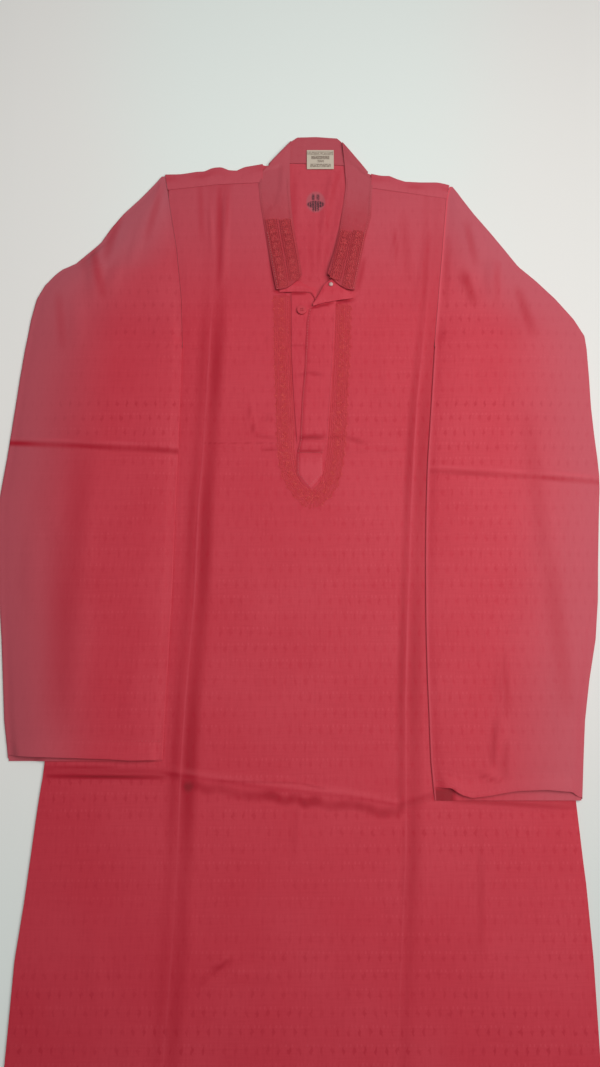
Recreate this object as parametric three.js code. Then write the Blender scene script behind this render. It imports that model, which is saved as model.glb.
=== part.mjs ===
// A knee-length kurta laid flat, face up, with its sleeves brought down beside the body.
// Millimetres, +Z up. X runs from the wearer's right to the wearer's left, Y from hem to collar.
// The pieces are drawn with "up" measured from the hem, and the group then moves them so that
// the origin is the middle of the surface that the garment lies on.
import * as THREE from "three";

// Driving sizes
const LENGTH = 1060;
const CLOTH = 1.0;
const SEAM_GAP = 0.3;
const COLLAR_WALL = 1.6;
const PLACKET_WALL = 1.4;
const LABEL_WALL = 0.6;

// Heights of the underside of each layer
const BACK_LEVEL = 0;
const FRONT_LEVEL = BACK_LEVEL + CLOTH + SEAM_GAP;
const OVER_FRONT = FRONT_LEVEL + CLOTH + SEAM_GAP;
const OVER_PLACKET = OVER_FRONT + PLACKET_WALL + SEAM_GAP;

const RED = 0xb23a48;
const EMBROIDERED_RED = 0xa63440;
const LABEL_CREAM = 0xcdbb9c;
const PEARL = 0xd9b9b4;

// Side edges of the body as distances from the centre line: hem, slit, side seam,
// bottom of the armhole, then the armhole seam up to the shoulder point
const BODY_SIDES = [
  { up: 0, right: 286, left: 288 },
  { up: 77, right: 281, left: 286 },
  { up: 171, right: 277, left: 285 },
  { up: 244, right: 268.5, left: 282 },
  { up: 320, right: 259, left: 277 },
  { up: 480, right: 247, left: 263 },
  { up: 640, right: 234, left: 250 },
  { up: 765, right: 225, left: 238 },
  { up: 785, right: 214, left: 228 },
  { up: 793, right: 190, left: 205 },
  { up: 797, right: 160, left: 178 },
  { up: 799, right: 130.2, left: 148.5 },
  { up: 858, right: 132.9, left: 154.7 },
  { up: 918, right: 139.7, left: 161.1 },
  { up: 962, right: 147.5, left: 165.6 },
  { up: 981, right: 150.6, left: 167.6 },
  { up: 1012, right: 155.8, left: 175.8 },
];
const UNDERARM_UP = 765;
const ARMHOLE_BOTTOM = 799;
// Where the shoulder fold and the forward seam meet each armhole
const SHOULDER_POINT = { right: 1011, left: 997 };
const SEAM_END = { right: 990, left: 982 };

// Shoulder folds: where the back turns forward, with the small waves of its top edge
const SHOULDER_FOLD = [
  { x: -156, up: 1012 },
  { x: -137, up: 1012.4 },
  { x: -119, up: 1015.5 },
  { x: -110, up: 1016 },
  { x: -101, up: 1020.5 },
  { x: -91, up: 1021.5 },
  { x: -82, up: 1017.5 },
  { x: -73, up: 1017 },
  { x: -64, up: 1021.5 },
  { x: -43, up: 1025.5 },
  { x: 82, up: 1013 },
  { x: 93, up: 1010.5 },
  { x: 103, up: 1010.2 },
  { x: 112, up: 1006 },
  { x: 121, up: 1003 },
  { x: 139, up: 1002 },
  { x: 158, up: 1002 },
  { x: 167, up: 1000 },
  { x: 176, up: 997 },
];
// Ends of the forward shoulder seams
const SHOULDER_SEAMS = [
  { x: -156, up: 990 },
  { x: -43, up: 999.5 },
  { x: 78.7, up: 995 },
  { x: 176, up: 981.3 },
];

// Collar band from the end on the wearer's right round the neck to the end on the left:
// its sewn edge, its free edge and how high its middle lies
const COLLAR_BAND = [
  { seamX: -26.6, seamUp: 868.2, freeX: 2.3, freeUp: 886.3, lift: 4.9 },
  { seamX: -32.2, seamUp: 897.7, freeX: -1.5, freeUp: 912.8, lift: 4.5 },
  { seamX: -38.7, seamUp: 935.8, freeX: -5.7, freeUp: 938.2, lift: 3.8 },
  { seamX: -45.3, seamUp: 975.6, freeX: -9.5, freeUp: 965.1, lift: 3.5 },
  { seamX: -47.2, seamUp: 998.3, freeX: -11.5, freeUp: 992.4, lift: 3.4 },
  { seamX: -44.0, seamUp: 1014, freeX: -11.8, freeUp: 1024, lift: 3.4 },
  { seamX: -34.9, seamUp: 1023.7, freeX: -10, freeUp: 1054.3, fold: -1 },
  { seamX: -11.6, seamUp: 1026.6, freeX: -3, freeUp: 1059.4, lift: 0.8 },
  { seamX: 19, seamUp: 1025.7, freeX: 19, freeUp: 1060, lift: 0.8 },
  { seamX: 49.7, seamUp: 1023.7, freeX: 43, freeUp: 1058.2, lift: 0.8 },
  { seamX: 76.9, seamUp: 1013.5, freeX: 48.9, freeUp: 1052.7, fold: 1 },
  { seamX: 84.2, seamUp: 1003, freeX: 51.5, freeUp: 1024, lift: 3.4 },
  { seamX: 82.7, seamUp: 986.9, freeX: 53, freeUp: 997.8, lift: 3.4 },
  { seamX: 81.1, seamUp: 956.9, freeX: 50.1, freeUp: 975.9, lift: 3.6 },
  { seamX: 74.4, seamUp: 932.7, freeX: 44.9, freeUp: 942.1, lift: 4.4 },
  { seamX: 69, seamUp: 906.3, freeX: 38.5, freeUp: 912.8, lift: 5.5 },
  { seamX: 61, seamUp: 866.6, freeX: 31, freeUp: 887, lift: 6.7 },
];
const BACK_OF_COLLAR = COLLAR_BAND.slice(6, 11);
const COLLAR_ACROSS = [0, 0.27, 0.53, 0.76, 1];
// Height of the middle of the band just after it folds over onto the front
const COLLAR_FRONT_LIFT = 3.4;
// How far the rounded corner of each collar end drops below its straight end
const END_ROUNDING = [0, 3.4, 5.8, 5.4, 0];

// Edges of the front's neckline and slit
const NECK_EDGES = [
  { up: 690, right: -3.3, left: 27 },
  { up: 740, right: -7, left: 29.6 },
  { up: 799, right: -9.8, left: 33.3 },
  { up: 858, right: -10, left: 36 },
  { up: 868, right: -20.7, left: 56 },
  { up: 898, right: -28.2, left: 63.4 },
  { up: 918, right: -31.5, left: 67.5 },
  { up: 936, right: -34.7, left: 71 },
  { up: 962, right: -39.5, left: 77.2 },
  { up: 981, right: -42, left: 78.4 },
  { up: 1000, right: -43, left: 78.7 },
];
const SLIT_BOTTOM = 690;

// Creases left by folding the garment for its pack, that run up the front
const CREASES = [
  { up: 0, right: -136, left: 84, height: 1.8 },
  { up: 82, right: -134.5, left: 92.5, height: 2.2 },
  { up: 180, right: -132.6, left: 99, height: 2.4 },
  { up: 272, right: -129.8, left: 105, height: 2.6 },
  { up: 330, right: -128.9, left: 106.5, height: 3.0 },
  { up: 419, right: -125.7, left: 108.3, height: 2.6 },
  { up: 521, right: -118, left: 113.2, height: 3.0 },
  { up: 628, right: -112.5, left: 120, height: 3.2 },
  { up: 684, right: -108.4, left: 126.6, height: 3.6 },
  { up: 741, right: -106.3, left: 132.6, height: 3.2 },
  { up: 858, right: -103.7, left: 141.5, height: 2.4 },
  { up: 980, right: -98.7, left: 150, height: 1.2 },
];
const CREASE_OUTER_SIDE = 8;
const CREASE_INNER_SIDE = 14;
// How far inside an edge a fold dies away, and how far under a sleeve or past its cuff
const EDGE_FADE = 10;
const UNDER_SLEEVE = { reach: 14, fade: 12, cuff: 6 };
// The folds also die away beside the slit, so that the placket lies flat
const SLIT_CALM = { middle: 13, half: 60 };

// The lower crease across the front
const CROSS_CREASE = [
  { x: -253, up: 349 },
  { x: -136, up: 343 },
  { x: -101, up: 338 },
  { x: -50, up: 331 },
  { x: 0, up: 325 },
  { x: 50, up: 320 },
  { x: 98, up: 312 },
  { x: 131, up: 322 },
  { x: 278, up: 314 },
];
const CROSS_CREASE_MIDDLE = 325;

// Smaller folds: a ridge along each line from one end to the other
const FRONT_FOLDS = [
  { fromX: -250, fromUp: 349, toX: -136, toUp: 343, height: 1.8, half: 12 },
  { fromX: -136, fromUp: 343, toX: -50, toUp: 331, height: 2.6, half: 12 },
  { fromX: -50, fromUp: 331, toX: 50, toUp: 320, height: 2.8, half: 12 },
  { fromX: 50, fromUp: 320, toX: 98, toUp: 312, height: 2.8, half: 12 },
  { fromX: 131, fromUp: 322, toX: 262, toUp: 315, height: 1.6, half: 12 },
  { fromX: -100, fromUp: 686, toX: -44, toUp: 683, height: 1.4, half: 9 },
  { fromX: 48, fromUp: 681, toX: 112, toUp: 679, height: 1.6, half: 9 },
  { fromX: -57, fromUp: 741, toX: -48, toUp: 695, height: 1.2, half: 12 },
  { fromX: -71, fromUp: 974, toX: -70, toUp: 918, height: 1.4, half: 12 },
  { fromX: 108, fromUp: 931, toX: 107, toUp: 882, height: 1.2, half: 12 },
  { fromX: -92, fromUp: 157, toX: -68, toUp: 180, height: 1.2, half: 12 },
];

// Sleeves: distances from the centre line of the inner and outer edges, cuff to shoulder
const SLEEVE_RIGHT = [
  { up: 361, inner: 138.5, outer: 296 },
  { up: 398, inner: 137.2, outer: 302 },
  { up: 439, inner: 136.2, outer: 306 },
  { up: 480, inner: 135, outer: 310 },
  { up: 521, inner: 133.7, outer: 315 },
  { up: 564, inner: 133, outer: 318 },
  { up: 607, inner: 132.3, outer: 321 },
  { up: 628, inner: 132, outer: 322 },
  { up: 674, inner: 131.2, outer: 316.5 },
  { up: 681, inner: 131.1, outer: 316 },
  { up: 687, inner: 131, outer: 315.5 },
  { up: 693, inner: 131, outer: 315 },
  { up: 700, inner: 130.9, outer: 314 },
  { up: 732, inner: 130.5, outer: 311 },
  { up: 765, inner: 130.3, outer: 308 },
  { up: 793, inner: 130.2, outer: 305 },
  { up: 799, inner: 130.2, outer: 304.4 },
  { up: 806, inner: 130.5, outer: 303.4 },
  { up: 814, inner: 130.9, outer: 302.2 },
  { up: 834, inner: 131.8, outer: 299.8 },
  { up: 858, inner: 132.9, outer: 294.8 },
  { up: 874, inner: 134.7, outer: 286.8 },
  { up: 887, inner: 136.2, outer: 275.6 },
  { up: 893, inner: 136.9, outer: 268.8 },
  { up: 900, inner: 137.7, outer: 253.8 },
  { up: 918, inner: 139.7, outer: 234.4 },
  { up: 926, inner: 141.1, outer: 226 },
  { up: 932, inner: 142.2, outer: 222.4 },
  { up: 944, inner: 144.3, outer: 215 },
  { up: 962, inner: 147.5, outer: 201.5 },
  { up: 981, inner: 150.6, outer: 183 },
  { up: 996, inner: 153.1, outer: 170 },
  { up: 1009, inner: 155.3, outer: 159.5 },
];
const SLEEVE_LEFT = [
  { up: 323, inner: 134, outer: 283 },
  { up: 359, inner: 131.9, outer: 287 },
  { up: 398, inner: 131.5, outer: 291 },
  { up: 439, inner: 130.8, outer: 298 },
  { up: 480, inner: 130.7, outer: 307 },
  { up: 521, inner: 131.2, outer: 312 },
  { up: 564, inner: 132.2, outer: 315 },
  { up: 607, inner: 133.8, outer: 318.5 },
  { up: 640, inner: 135.5, outer: 321.5 },
  { up: 655, inner: 136.3, outer: 322 },
  { up: 662, inner: 136.8, outer: 321.8 },
  { up: 668, inner: 137.2, outer: 321.6 },
  { up: 675, inner: 137.7, outer: 321.2 },
  { up: 700, inner: 140, outer: 319.5 },
  { up: 732, inner: 142.8, outer: 318 },
  { up: 765, inner: 145.6, outer: 318 },
  { up: 793, inner: 148, outer: 317.6 },
  { up: 799, inner: 148.5, outer: 317.4 },
  { up: 806, inner: 149.2, outer: 317.2 },
  { up: 814, inner: 150.1, outer: 316 },
  { up: 834, inner: 152.2, outer: 305 },
  { up: 858, inner: 154.7, outer: 286 },
  { up: 880, inner: 157, outer: 265 },
  { up: 897, inner: 158.9, outer: 246.4 },
  { up: 918, inner: 161.1, outer: 231.5 },
  { up: 940, inner: 163.3, outer: 215.5 },
  { up: 962, inner: 165.6, outer: 198.6 },
  { up: 981, inner: 167.6, outer: 185.8 },
  { up: 990, inner: 170, outer: 180 },
  { up: 996, inner: 171.6, outer: 175.6 },
];
const SLEEVE_RIGHT_FOLDS = [
  { fromX: -300, fromUp: 687.5, toX: -150, toUp: 687, height: 2.8, half: 9 },
  { fromX: -231, fromUp: 931, toX: -229, toUp: 862, height: 2.2, half: 16 },
  { fromX: -200, fromUp: 905, toX: -214, toUp: 868, height: 1.4, half: 18 },
  { fromX: -234, fromUp: 650, toX: -225, toUp: 530, height: 1.8, half: 22 },
  { fromX: -252, fromUp: 521, toX: -224, toUp: 372, height: 1.6, half: 24 },
];
const SLEEVE_LEFT_FOLDS = [
  { fromX: 150, fromUp: 668, toX: 308, toUp: 656, height: 2.8, half: 9 },
  { fromX: 217, fromUp: 905, toX: 215, toUp: 852, height: 2.2, half: 16 },
  { fromX: 180, fromUp: 865, toX: 196, toUp: 888, height: 1.4, half: 18 },
  { fromX: 209, fromUp: 628, toX: 197, toUp: 345, height: 1.8, half: 24 },
  { fromX: 260, fromUp: 640, toX: 264, toUp: 370, height: 1.6, half: 24 },
  { fromX: 141, fromUp: 322, toX: 152, toUp: 335, height: 2.0, half: 13 },
];
// How far the layer underneath stands out at a cuff
const CUFF_STEP = 3;

// Placket and turned corners of the neckline
const UNDER_PLACKET_WIDTH = 28;
const UNDER_PLACKET = { bottom: 690.5, top: 872, straightTo: 858, right: 0.4, left: 0.6 };
const UPPER_PLACKET = [
  { up: 641, right: 8.4, left: 12.2 },
  { up: 648, right: 1.6, left: 18.6 },
  { up: 656, right: -3.2, left: 24 },
  { up: 680, right: -3.2, left: 24.6 },
  { up: 694, right: -0.2, left: 30 },
  { up: 740, right: 1.6, left: 33.6 },
  { up: 775, right: 5, left: 36 },
  { up: 830, right: 7.4, left: 39 },
  { up: 845, right: 10, left: 39.8 },
  { up: 852, right: 18.4, left: 40.2 },
  { up: 870, right: 26, left: 41 },
];
const CORNER_RIGHT = [
  { x: -23, low: 865.8, high: 874 },
  { x: -12, low: 866, high: 879 },
  { x: -2, low: 866.2, high: 880 },
  { x: 7, low: 866, high: 873.8 },
  { x: 12, low: 865.2, high: 870.8 },
  { x: 15.4, low: 861, high: 868.4 },
  { x: 17.3, low: 853, high: 862.5 },
];
const CORNER_LEFT = [
  { x: 14.6, low: 848.4, high: 852.6 },
  { x: 20, low: 850.4, high: 862 },
  { x: 27.6, low: 852.4, high: 874 },
  { x: 37, low: 854.2, high: 882 },
  { x: 50, low: 856.6, high: 880 },
  { x: 60.5, low: 859, high: 872 },
];

const LABEL = { fromX: 8, toX: 39, fromUp: 1018.5, bendUp: 1023.2, toUp: 1042.4 };
const COLLAR_BUTTON = { x: 34.6, up: 873.6, radius: 2.4, height: 2.2 };
const PLACKET_BUTTON = { x: 2, up: 844.5, radius: 5.4, height: 1.9 };
const BUTTON_HOLE = { radius: 0.8, offset: 1.5 };

// Value of a column of a table, read between its rows
function read(table, key, column, at) {
  const next = table.findIndex((row) => row[key] >= at);
  if (next === 0) return table[0][column];
  if (next < 0) return table[table.length - 1][column];
  const low = table[next - 1];
  const high = table[next];
  const share = (at - low[key]) / (high[key] - low[key]);
  return low[column] + share * (high[column] - low[column]);
}

const mix = (a, b, share) => a + share * (b - a);

function smooth(value) {
  const t = Math.min(1, Math.max(0, value));
  return t * t * (3 - 2 * t);
}

const spread = (from, to, shares) => shares.map((share) => mix(from, to, share));

// Height of a soft ridge at a distance from its line
function ridge(distance, half) {
  const share = Math.min(1, Math.abs(distance) / half);
  return (1 - share * share) ** 2;
}

function distanceToLine(x, up, fold) {
  const alongX = fold.toX - fold.fromX;
  const alongUp = fold.toUp - fold.fromUp;
  const travel = (x - fold.fromX) * alongX + (up - fold.fromUp) * alongUp;
  const share = Math.min(1, Math.max(0, travel / (alongX ** 2 + alongUp ** 2)));
  return Math.hypot(x - fold.fromX - share * alongX, up - fold.fromUp - share * alongUp);
}

function foldsAt(x, up, folds) {
  const heights = folds.map((fold) => fold.height * ridge(distanceToLine(x, up, fold), fold.half));
  return Math.max(0, ...heights);
}

// A closed wall of cloth from a grid. place(i, j) gives a point on the middle of the cloth and
// the way that its right side faces; kept(i, j) says which cells of the grid are cloth; a grid
// that goes around joins its last column to its first.
function clothWall({ rows, columns, place, wall, kept = () => true, around = false }) {
  const points = [];
  for (let i = 0; i < rows; i++) {
    for (let j = 0; j < columns; j++) {
      const { at, faces } = place(i, j);
      points.push(at.clone().addScaledVector(faces, wall / 2));
      points.push(at.clone().addScaledVector(faces, -wall / 2));
    }
  }
  const cellColumns = around ? columns : columns - 1;
  const outside = (i, j) => 2 * (i * columns + (j % columns));
  const inside = (i, j) => outside(i, j) + 1;
  const wrapped = (j) => (around ? (j + cellColumns) % cellColumns : j);
  const isCloth = (i, j) => {
    const column = wrapped(j);
    return i >= 0 && i < rows - 1 && column >= 0 && column < cellColumns && kept(i, column);
  };
  const triangles = [];
  const quad = (a, b, c, d) => triangles.push(a, b, c, a, c, d);
  const edge = (a, b) => quad(outside(...b), outside(...a), inside(...a), inside(...b));
  for (let i = 0; i < rows - 1; i++) {
    for (let j = 0; j < cellColumns; j++) {
      if (!isCloth(i, j)) continue;
      const corners = [[i, j], [i, j + 1], [i + 1, j + 1], [i + 1, j]];
      const [a, b, c, d] = corners;
      quad(outside(...a), outside(...b), outside(...c), outside(...d));
      quad(inside(...d), inside(...c), inside(...b), inside(...a));
      if (!isCloth(i - 1, j)) edge(a, b);
      if (!isCloth(i, j + 1)) edge(b, c);
      if (!isCloth(i + 1, j)) edge(c, d);
      if (!isCloth(i, j - 1)) edge(d, a);
    }
  }
  return facingOut(points, triangles);
}

// A geometry of the triangles, turned so that they face out of the solid
function facingOut(points, triangles) {
  let volume = 0;
  for (let t = 0; t < triangles.length; t += 3) {
    const [a, b, c] = triangles.slice(t, t + 3).map((index) => points[index]);
    volume += a.dot(b.clone().cross(c));
  }
  const facing = volume < 0 ? [...triangles].reverse() : triangles;
  const geometry = new THREE.BufferGeometry().setFromPoints(points);
  geometry.setIndex(facing);
  const compact = geometry.toNonIndexed();
  compact.computeVertexNormals();
  return compact;
}

const UP = new THREE.Vector3(0, 0, 1);
const at = (x, up, z) => new THREE.Vector3(x, up, z);

const rightSide = (up) => -read(BODY_SIDES, "up", "right", up);
const leftSide = (up) => read(BODY_SIDES, "up", "left", up);
const seamUpAt = (x) => read(SHOULDER_SEAMS, "x", "up", x);

// How far the front stands above its flat level
function frontRelief(x, up) {
  const height = read(CREASES, "up", "height", up);
  const fromRight = x - read(CREASES, "up", "right", up);
  const fromLeft = read(CREASES, "up", "left", up) - x;
  const crease = Math.max(
    ridge(fromRight, fromRight < 0 ? CREASE_OUTER_SIDE : CREASE_INNER_SIDE),
    ridge(fromLeft, fromLeft < 0 ? CREASE_OUTER_SIDE : CREASE_INNER_SIDE),
  );
  return Math.max(height * crease, foldsAt(x, up, FRONT_FOLDS) * underSleeve(x, up));
}

// 1 where the front shows, falling to 0 where a sleeve lies on it
function underSleeve(x, up) {
  const table = x < 0 ? SLEEVE_RIGHT : SLEEVE_LEFT;
  if (up > ARMHOLE_BOTTOM || up < table[0].up - UNDER_SLEEVE.cuff) return 1;
  const inner = read(table, "up", "inner", up);
  return 1 - smooth((Math.abs(x) - inner + UNDER_SLEEVE.reach) / UNDER_SLEEVE.fade);
}

// Rows of the front, from the hem up; sway is how far a row follows the lower cross crease
const FRONT_ROWS = [
  { up: 0, sway: 0 },
  { up: 40, sway: 0 },
  { up: 82, sway: 0 },
  { up: 130, sway: 0 },
  { up: 157, sway: 0 },
  { up: 180, sway: 0 },
  { up: 230, sway: 0 },
  { up: 280, sway: 0.4 },
  { up: 312, sway: 1 },
  { up: 320, sway: 1 },
  { up: 325, sway: 1 },
  { up: 330, sway: 1 },
  { up: 338, sway: 1 },
  { up: 370, sway: 0.4 },
  { up: 420, sway: 0 },
  { up: 480, sway: 0 },
  { up: 521, sway: 0 },
  { up: 575, sway: 0 },
  { up: 628, sway: 0 },
  { up: 668, sway: 0 },
  { up: 676, sway: 0 },
  { up: 682, sway: 0 },
  { up: 690, sway: 0 },
  { up: 715, sway: 0 },
  { up: 741, sway: 0 },
  { up: 765, sway: 0 },
  { up: 785, sway: 0 },
  { up: 793, sway: 0 },
  { up: 797, sway: 0 },
  { up: 799, sway: 0 },
  { up: 828, sway: 0 },
  { up: 858, sway: 0 },
  { up: 868, sway: 0 },
  { up: 898, sway: 0 },
  { up: 918, sway: 0 },
  { up: 936, sway: 0 },
  { up: 962, sway: 0 },
  { up: 981, sway: 0 },
];
const AROUND_CREASE = [-1, -0.5, 0, 0.5, 1];
// The slit opens after this many columns; the top row reads its columns at this level
const COLUMNS_BEFORE_SLIT = 9;
const SEAM_COLUMNS_UP = 983;

// Where the columns of the front cross a row
function frontColumns(up) {
  const creaseRight = read(CREASES, "up", "right", up);
  const creaseLeft = read(CREASES, "up", "left", up);
  const neckRight = read(NECK_EDGES, "up", "right", up);
  const neckLeft = read(NECK_EDGES, "up", "left", up);
  const offset = (share) => share * (share < 0 ? CREASE_OUTER_SIDE : CREASE_INNER_SIDE);
  const onRight = AROUND_CREASE.map((share) => creaseRight + offset(share));
  const onLeft = AROUND_CREASE.map((share) => creaseLeft - offset(share)).reverse();
  const armholeGap = up >= ARMHOLE_BOTTOM ? SEAM_GAP : 0;
  const right = rightSide(up) + armholeGap;
  const left = leftSide(up) - armholeGap;
  return [
    right,
    mix(right, onRight[0], 0.5),
    ...onRight,
    ...spread(onRight[4], neckRight, [0.33, 0.66, 1]),
    ...spread(neckLeft, onLeft[0], [0, 0.33, 0.66]),
    ...onLeft,
    mix(left, onLeft[4], 0.5),
    left,
  ];
}

function front() {
  const columns = frontColumns(0).length;
  const slitRow = FRONT_ROWS.findIndex((row) => row.up >= SLIT_BOTTOM);
  const rows = FRONT_ROWS.length + 1;
  const place = (i, j) => {
    if (i === rows - 1) {
      const x = frontColumns(SEAM_COLUMNS_UP)[j];
      return { at: at(x, seamUpAt(x), FRONT_LEVEL + CLOTH / 2), faces: UP };
    }
    const { up: level, sway } = FRONT_ROWS[i];
    const x = frontColumns(level)[j];
    const up = level + sway * (read(CROSS_CREASE, "x", "up", x) - CROSS_CREASE_MIDDLE);
    const edge = Math.min(x - rightSide(level), leftSide(level) - x);
    const besideSlit = level < SLIT_BOTTOM ? 1 : smooth(Math.abs(x - SLIT_CALM.middle) / SLIT_CALM.half);
    const relief = frontRelief(x, up) * smooth(edge / EDGE_FADE) * besideSlit;
    return { at: at(x, up, FRONT_LEVEL + CLOTH / 2 + relief), faces: UP };
  };
  const kept = (i, j) => j !== COLUMNS_BEFORE_SLIT || i < slitRow;
  return clothWall({ rows, columns, place, kept, wall: CLOTH });
}

// Turning steps of a fold, as angles from the layer below to the layer above
const FOLD_TURN = [0.25, 0.5, 0.75].map((share) => share * Math.PI);
const FOLD_RADIUS = (CLOTH + SEAM_GAP) / 2;
const FOLD_REACH = FOLD_RADIUS + CLOTH / 2;

const BACK_ROWS = [
  0, 90, 171, 244, 320, 400, 480, 560, 640, 705, 765, 785, 793, 797, 799, 858, 918, 962, 981,
];
const NECK_RIGHT = -43;
const NECK_LEFT = 82;
const BACK_NECK = BACK_OF_COLLAR.map((band) => band.seamX);
const RIGHT_SHOULDER = [0, 0.12, 0.3, 0.39, 0.48, 0.57, 0.66, 0.74, 0.83, 1];
const LEFT_SHOULDER = [0, 0.12, 0.24, 0.35, 0.46, 0.6, 0.8, 1];

function backColumns(up) {
  const armholeGap = up >= ARMHOLE_BOTTOM ? SEAM_GAP : 0;
  const right = rightSide(up) + armholeGap;
  const left = leftSide(up) - armholeGap;
  return [
    ...spread(right, NECK_RIGHT, RIGHT_SHOULDER),
    ...BACK_NECK,
    ...spread(NECK_LEFT, left, LEFT_SHOULDER),
  ];
}

// The back's sheet, then the turn over the shoulders, then the strips down to the forward seams
function back() {
  const columns = backColumns(0).length;
  const neckFrom = RIGHT_SHOULDER.length - 1;
  const neckTo = neckFrom + BACK_NECK.length + 1;
  const isNeck = (j) => j > neckFrom && j < neckTo;
  const sheetRows = BACK_ROWS.length + 1;
  const rows = sheetRows + FOLD_TURN.length + 2;
  const isRight = (j) => j <= neckFrom;
  const columnAt = (levels, j) => backColumns(isRight(j) ? levels.right : levels.left)[j];
  const low = BACK_LEVEL + CLOTH / 2;
  const high = FRONT_LEVEL + CLOTH / 2;
  const down = new THREE.Vector3(0, 0, -1);
  const place = (i, j) => {
    if (i < BACK_ROWS.length) {
      return { at: at(backColumns(BACK_ROWS[i])[j], BACK_ROWS[i], low), faces: down };
    }
    const x = columnAt(SHOULDER_POINT, j);
    const neckUp = read(BACK_OF_COLLAR, "seamX", "seamUp", x) - SEAM_GAP;
    const fold = isNeck(j) ? neckUp : read(SHOULDER_FOLD, "x", "up", x) - FOLD_REACH;
    if (i === BACK_ROWS.length) return { at: at(x, fold, low), faces: down };
    if (i < sheetRows + FOLD_TURN.length) {
      const angle = FOLD_TURN[i - sheetRows];
      const faces = new THREE.Vector3(0, Math.sin(angle), -Math.cos(angle));
      return { at: at(x, fold, (low + high) / 2).addScaledVector(faces, FOLD_RADIUS), faces };
    }
    if (i < rows - 1) return { at: at(x, fold, high), faces: UP };
    const seamX = columnAt(SEAM_END, j);
    return { at: at(seamX, seamUpAt(seamX) + SEAM_GAP, high), faces: UP };
  };
  const kept = (i, j) => i < sheetRows - 1 || j < neckFrom || j >= neckTo;
  return clothWall({ rows, columns, place, kept, wall: CLOTH });
}

// How a sleeve comes down to the floor beside the body and above the armhole's bottom, and
// where its columns turn from following the body's edge to even shares
const COME_DOWN = { start: 1, beside: 12, above: 13 };
const EVEN_COLUMNS = { start: 15, over: 60 };
const LEAST_STEP = 0.6;

// Level that a sleeve's lower layer lies on: the floor, or the front inside the body's edge
function sleeveLevel(side, up, x) {
  const bodyEdge = read(BODY_SIDES, "up", side, Math.min(up, UNDERARM_UP));
  const beside = smooth((Math.abs(x) - bodyEdge - COME_DOWN.start) / COME_DOWN.beside);
  const above = smooth((up - ARMHOLE_BOTTOM - COME_DOWN.start) / COME_DOWN.above);
  return OVER_FRONT * (1 - beside) * (1 - above);
}

const SLEEVE_COVERED = [0, 0.08, 0.25, 0.45, 0.65, 0.85];
const SLEEVE_BESIDE = [1, 5, 9, 13];
const SLEEVE_PLAIN = [0, 0.08, 0.2, 0.33, 0.45, 0.56, 0.66, 0.75, 0.84, 0.92, 1];

// Where the columns of a sleeve cross a row, from the inner edge to the outer one
function sleeveColumns(side, up, inner, outer) {
  const bodyEdge = read(BODY_SIDES, "up", side, Math.min(up, UNDERARM_UP));
  const covered = spread(inner, bodyEdge, SLEEVE_COVERED);
  const past = SLEEVE_BESIDE.map((step) => bodyEdge + step);
  const room = (k) => LEAST_STEP * (SLEEVE_BESIDE.length - k);
  const beside = past.map((x, k) => Math.min(x, outer - room(k)));
  const overFront = [...covered, ...beside, outer];
  const plain = spread(inner, outer, SLEEVE_PLAIN);
  const share = smooth((up - ARMHOLE_BOTTOM - EVEN_COLUMNS.start) / EVEN_COLUMNS.over);
  return overFront.map((x, k) => mix(x, plain[k], share));
}

// A sleeve is a flattened tube: closed by a fold along its outer edge and, below the armhole,
// along its inner edge, and open at the cuff and along the armhole seam.
function sleeve(side, table, folds) {
  const sign = side === "right" ? -1 : 1;
  const across = SLEEVE_PLAIN.length;
  const turns = FOLD_TURN.length;
  const columns = 2 * across + 2 * turns;
  const place = (i, j) => {
    const row = table[i];
    const isOpen = row.up > ARMHOLE_BOTTOM;
    const innerEdge = row.inner + (isOpen ? 0 : FOLD_REACH);
    const outerEdge = row.outer - FOLD_REACH;
    const stations = sleeveColumns(side, row.up, innerEdge, outerEdge);
    const lowerStep = i === 0 ? CUFF_STEP : 0;
    const layer = (k, isUpper) => {
      const x = sign * stations[k];
      const level = sleeveLevel(side, row.up, x) + CLOTH / 2;
      if (!isUpper) return at(x, row.up - lowerStep, level);
      const edge = Math.min(stations[k] - innerEdge, outerEdge - stations[k]);
      const relief = foldsAt(x, row.up, folds) * smooth(edge / EDGE_FADE);
      return at(x, row.up, level + CLOTH + SEAM_GAP + relief);
    };
    const turn = (k, angle, outward) => {
      const middle = layer(k, true).add(layer(k, false)).multiplyScalar(0.5);
      const faces = new THREE.Vector3(outward * Math.sin(angle), 0, Math.cos(angle));
      return { at: middle.addScaledVector(faces, FOLD_RADIUS), faces };
    };
    if (j < across) return { at: layer(j, true), faces: UP };
    if (j < across + turns) return turn(across - 1, FOLD_TURN[j - across], sign);
    if (j < 2 * across + turns) {
      const k = 2 * across + turns - 1 - j;
      return { at: layer(k, false), faces: UP.clone().negate() };
    }
    return turn(0, Math.PI - FOLD_TURN[j - 2 * across - turns], -sign);
  };
  const armholeRow = table.findIndex((row) => row.up >= ARMHOLE_BOTTOM);
  const kept = (i, j) => i < armholeRow || j < columns - turns - 1;
  return clothWall({ rows: table.length, columns, place, kept, wall: CLOTH, around: true });
}

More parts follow.
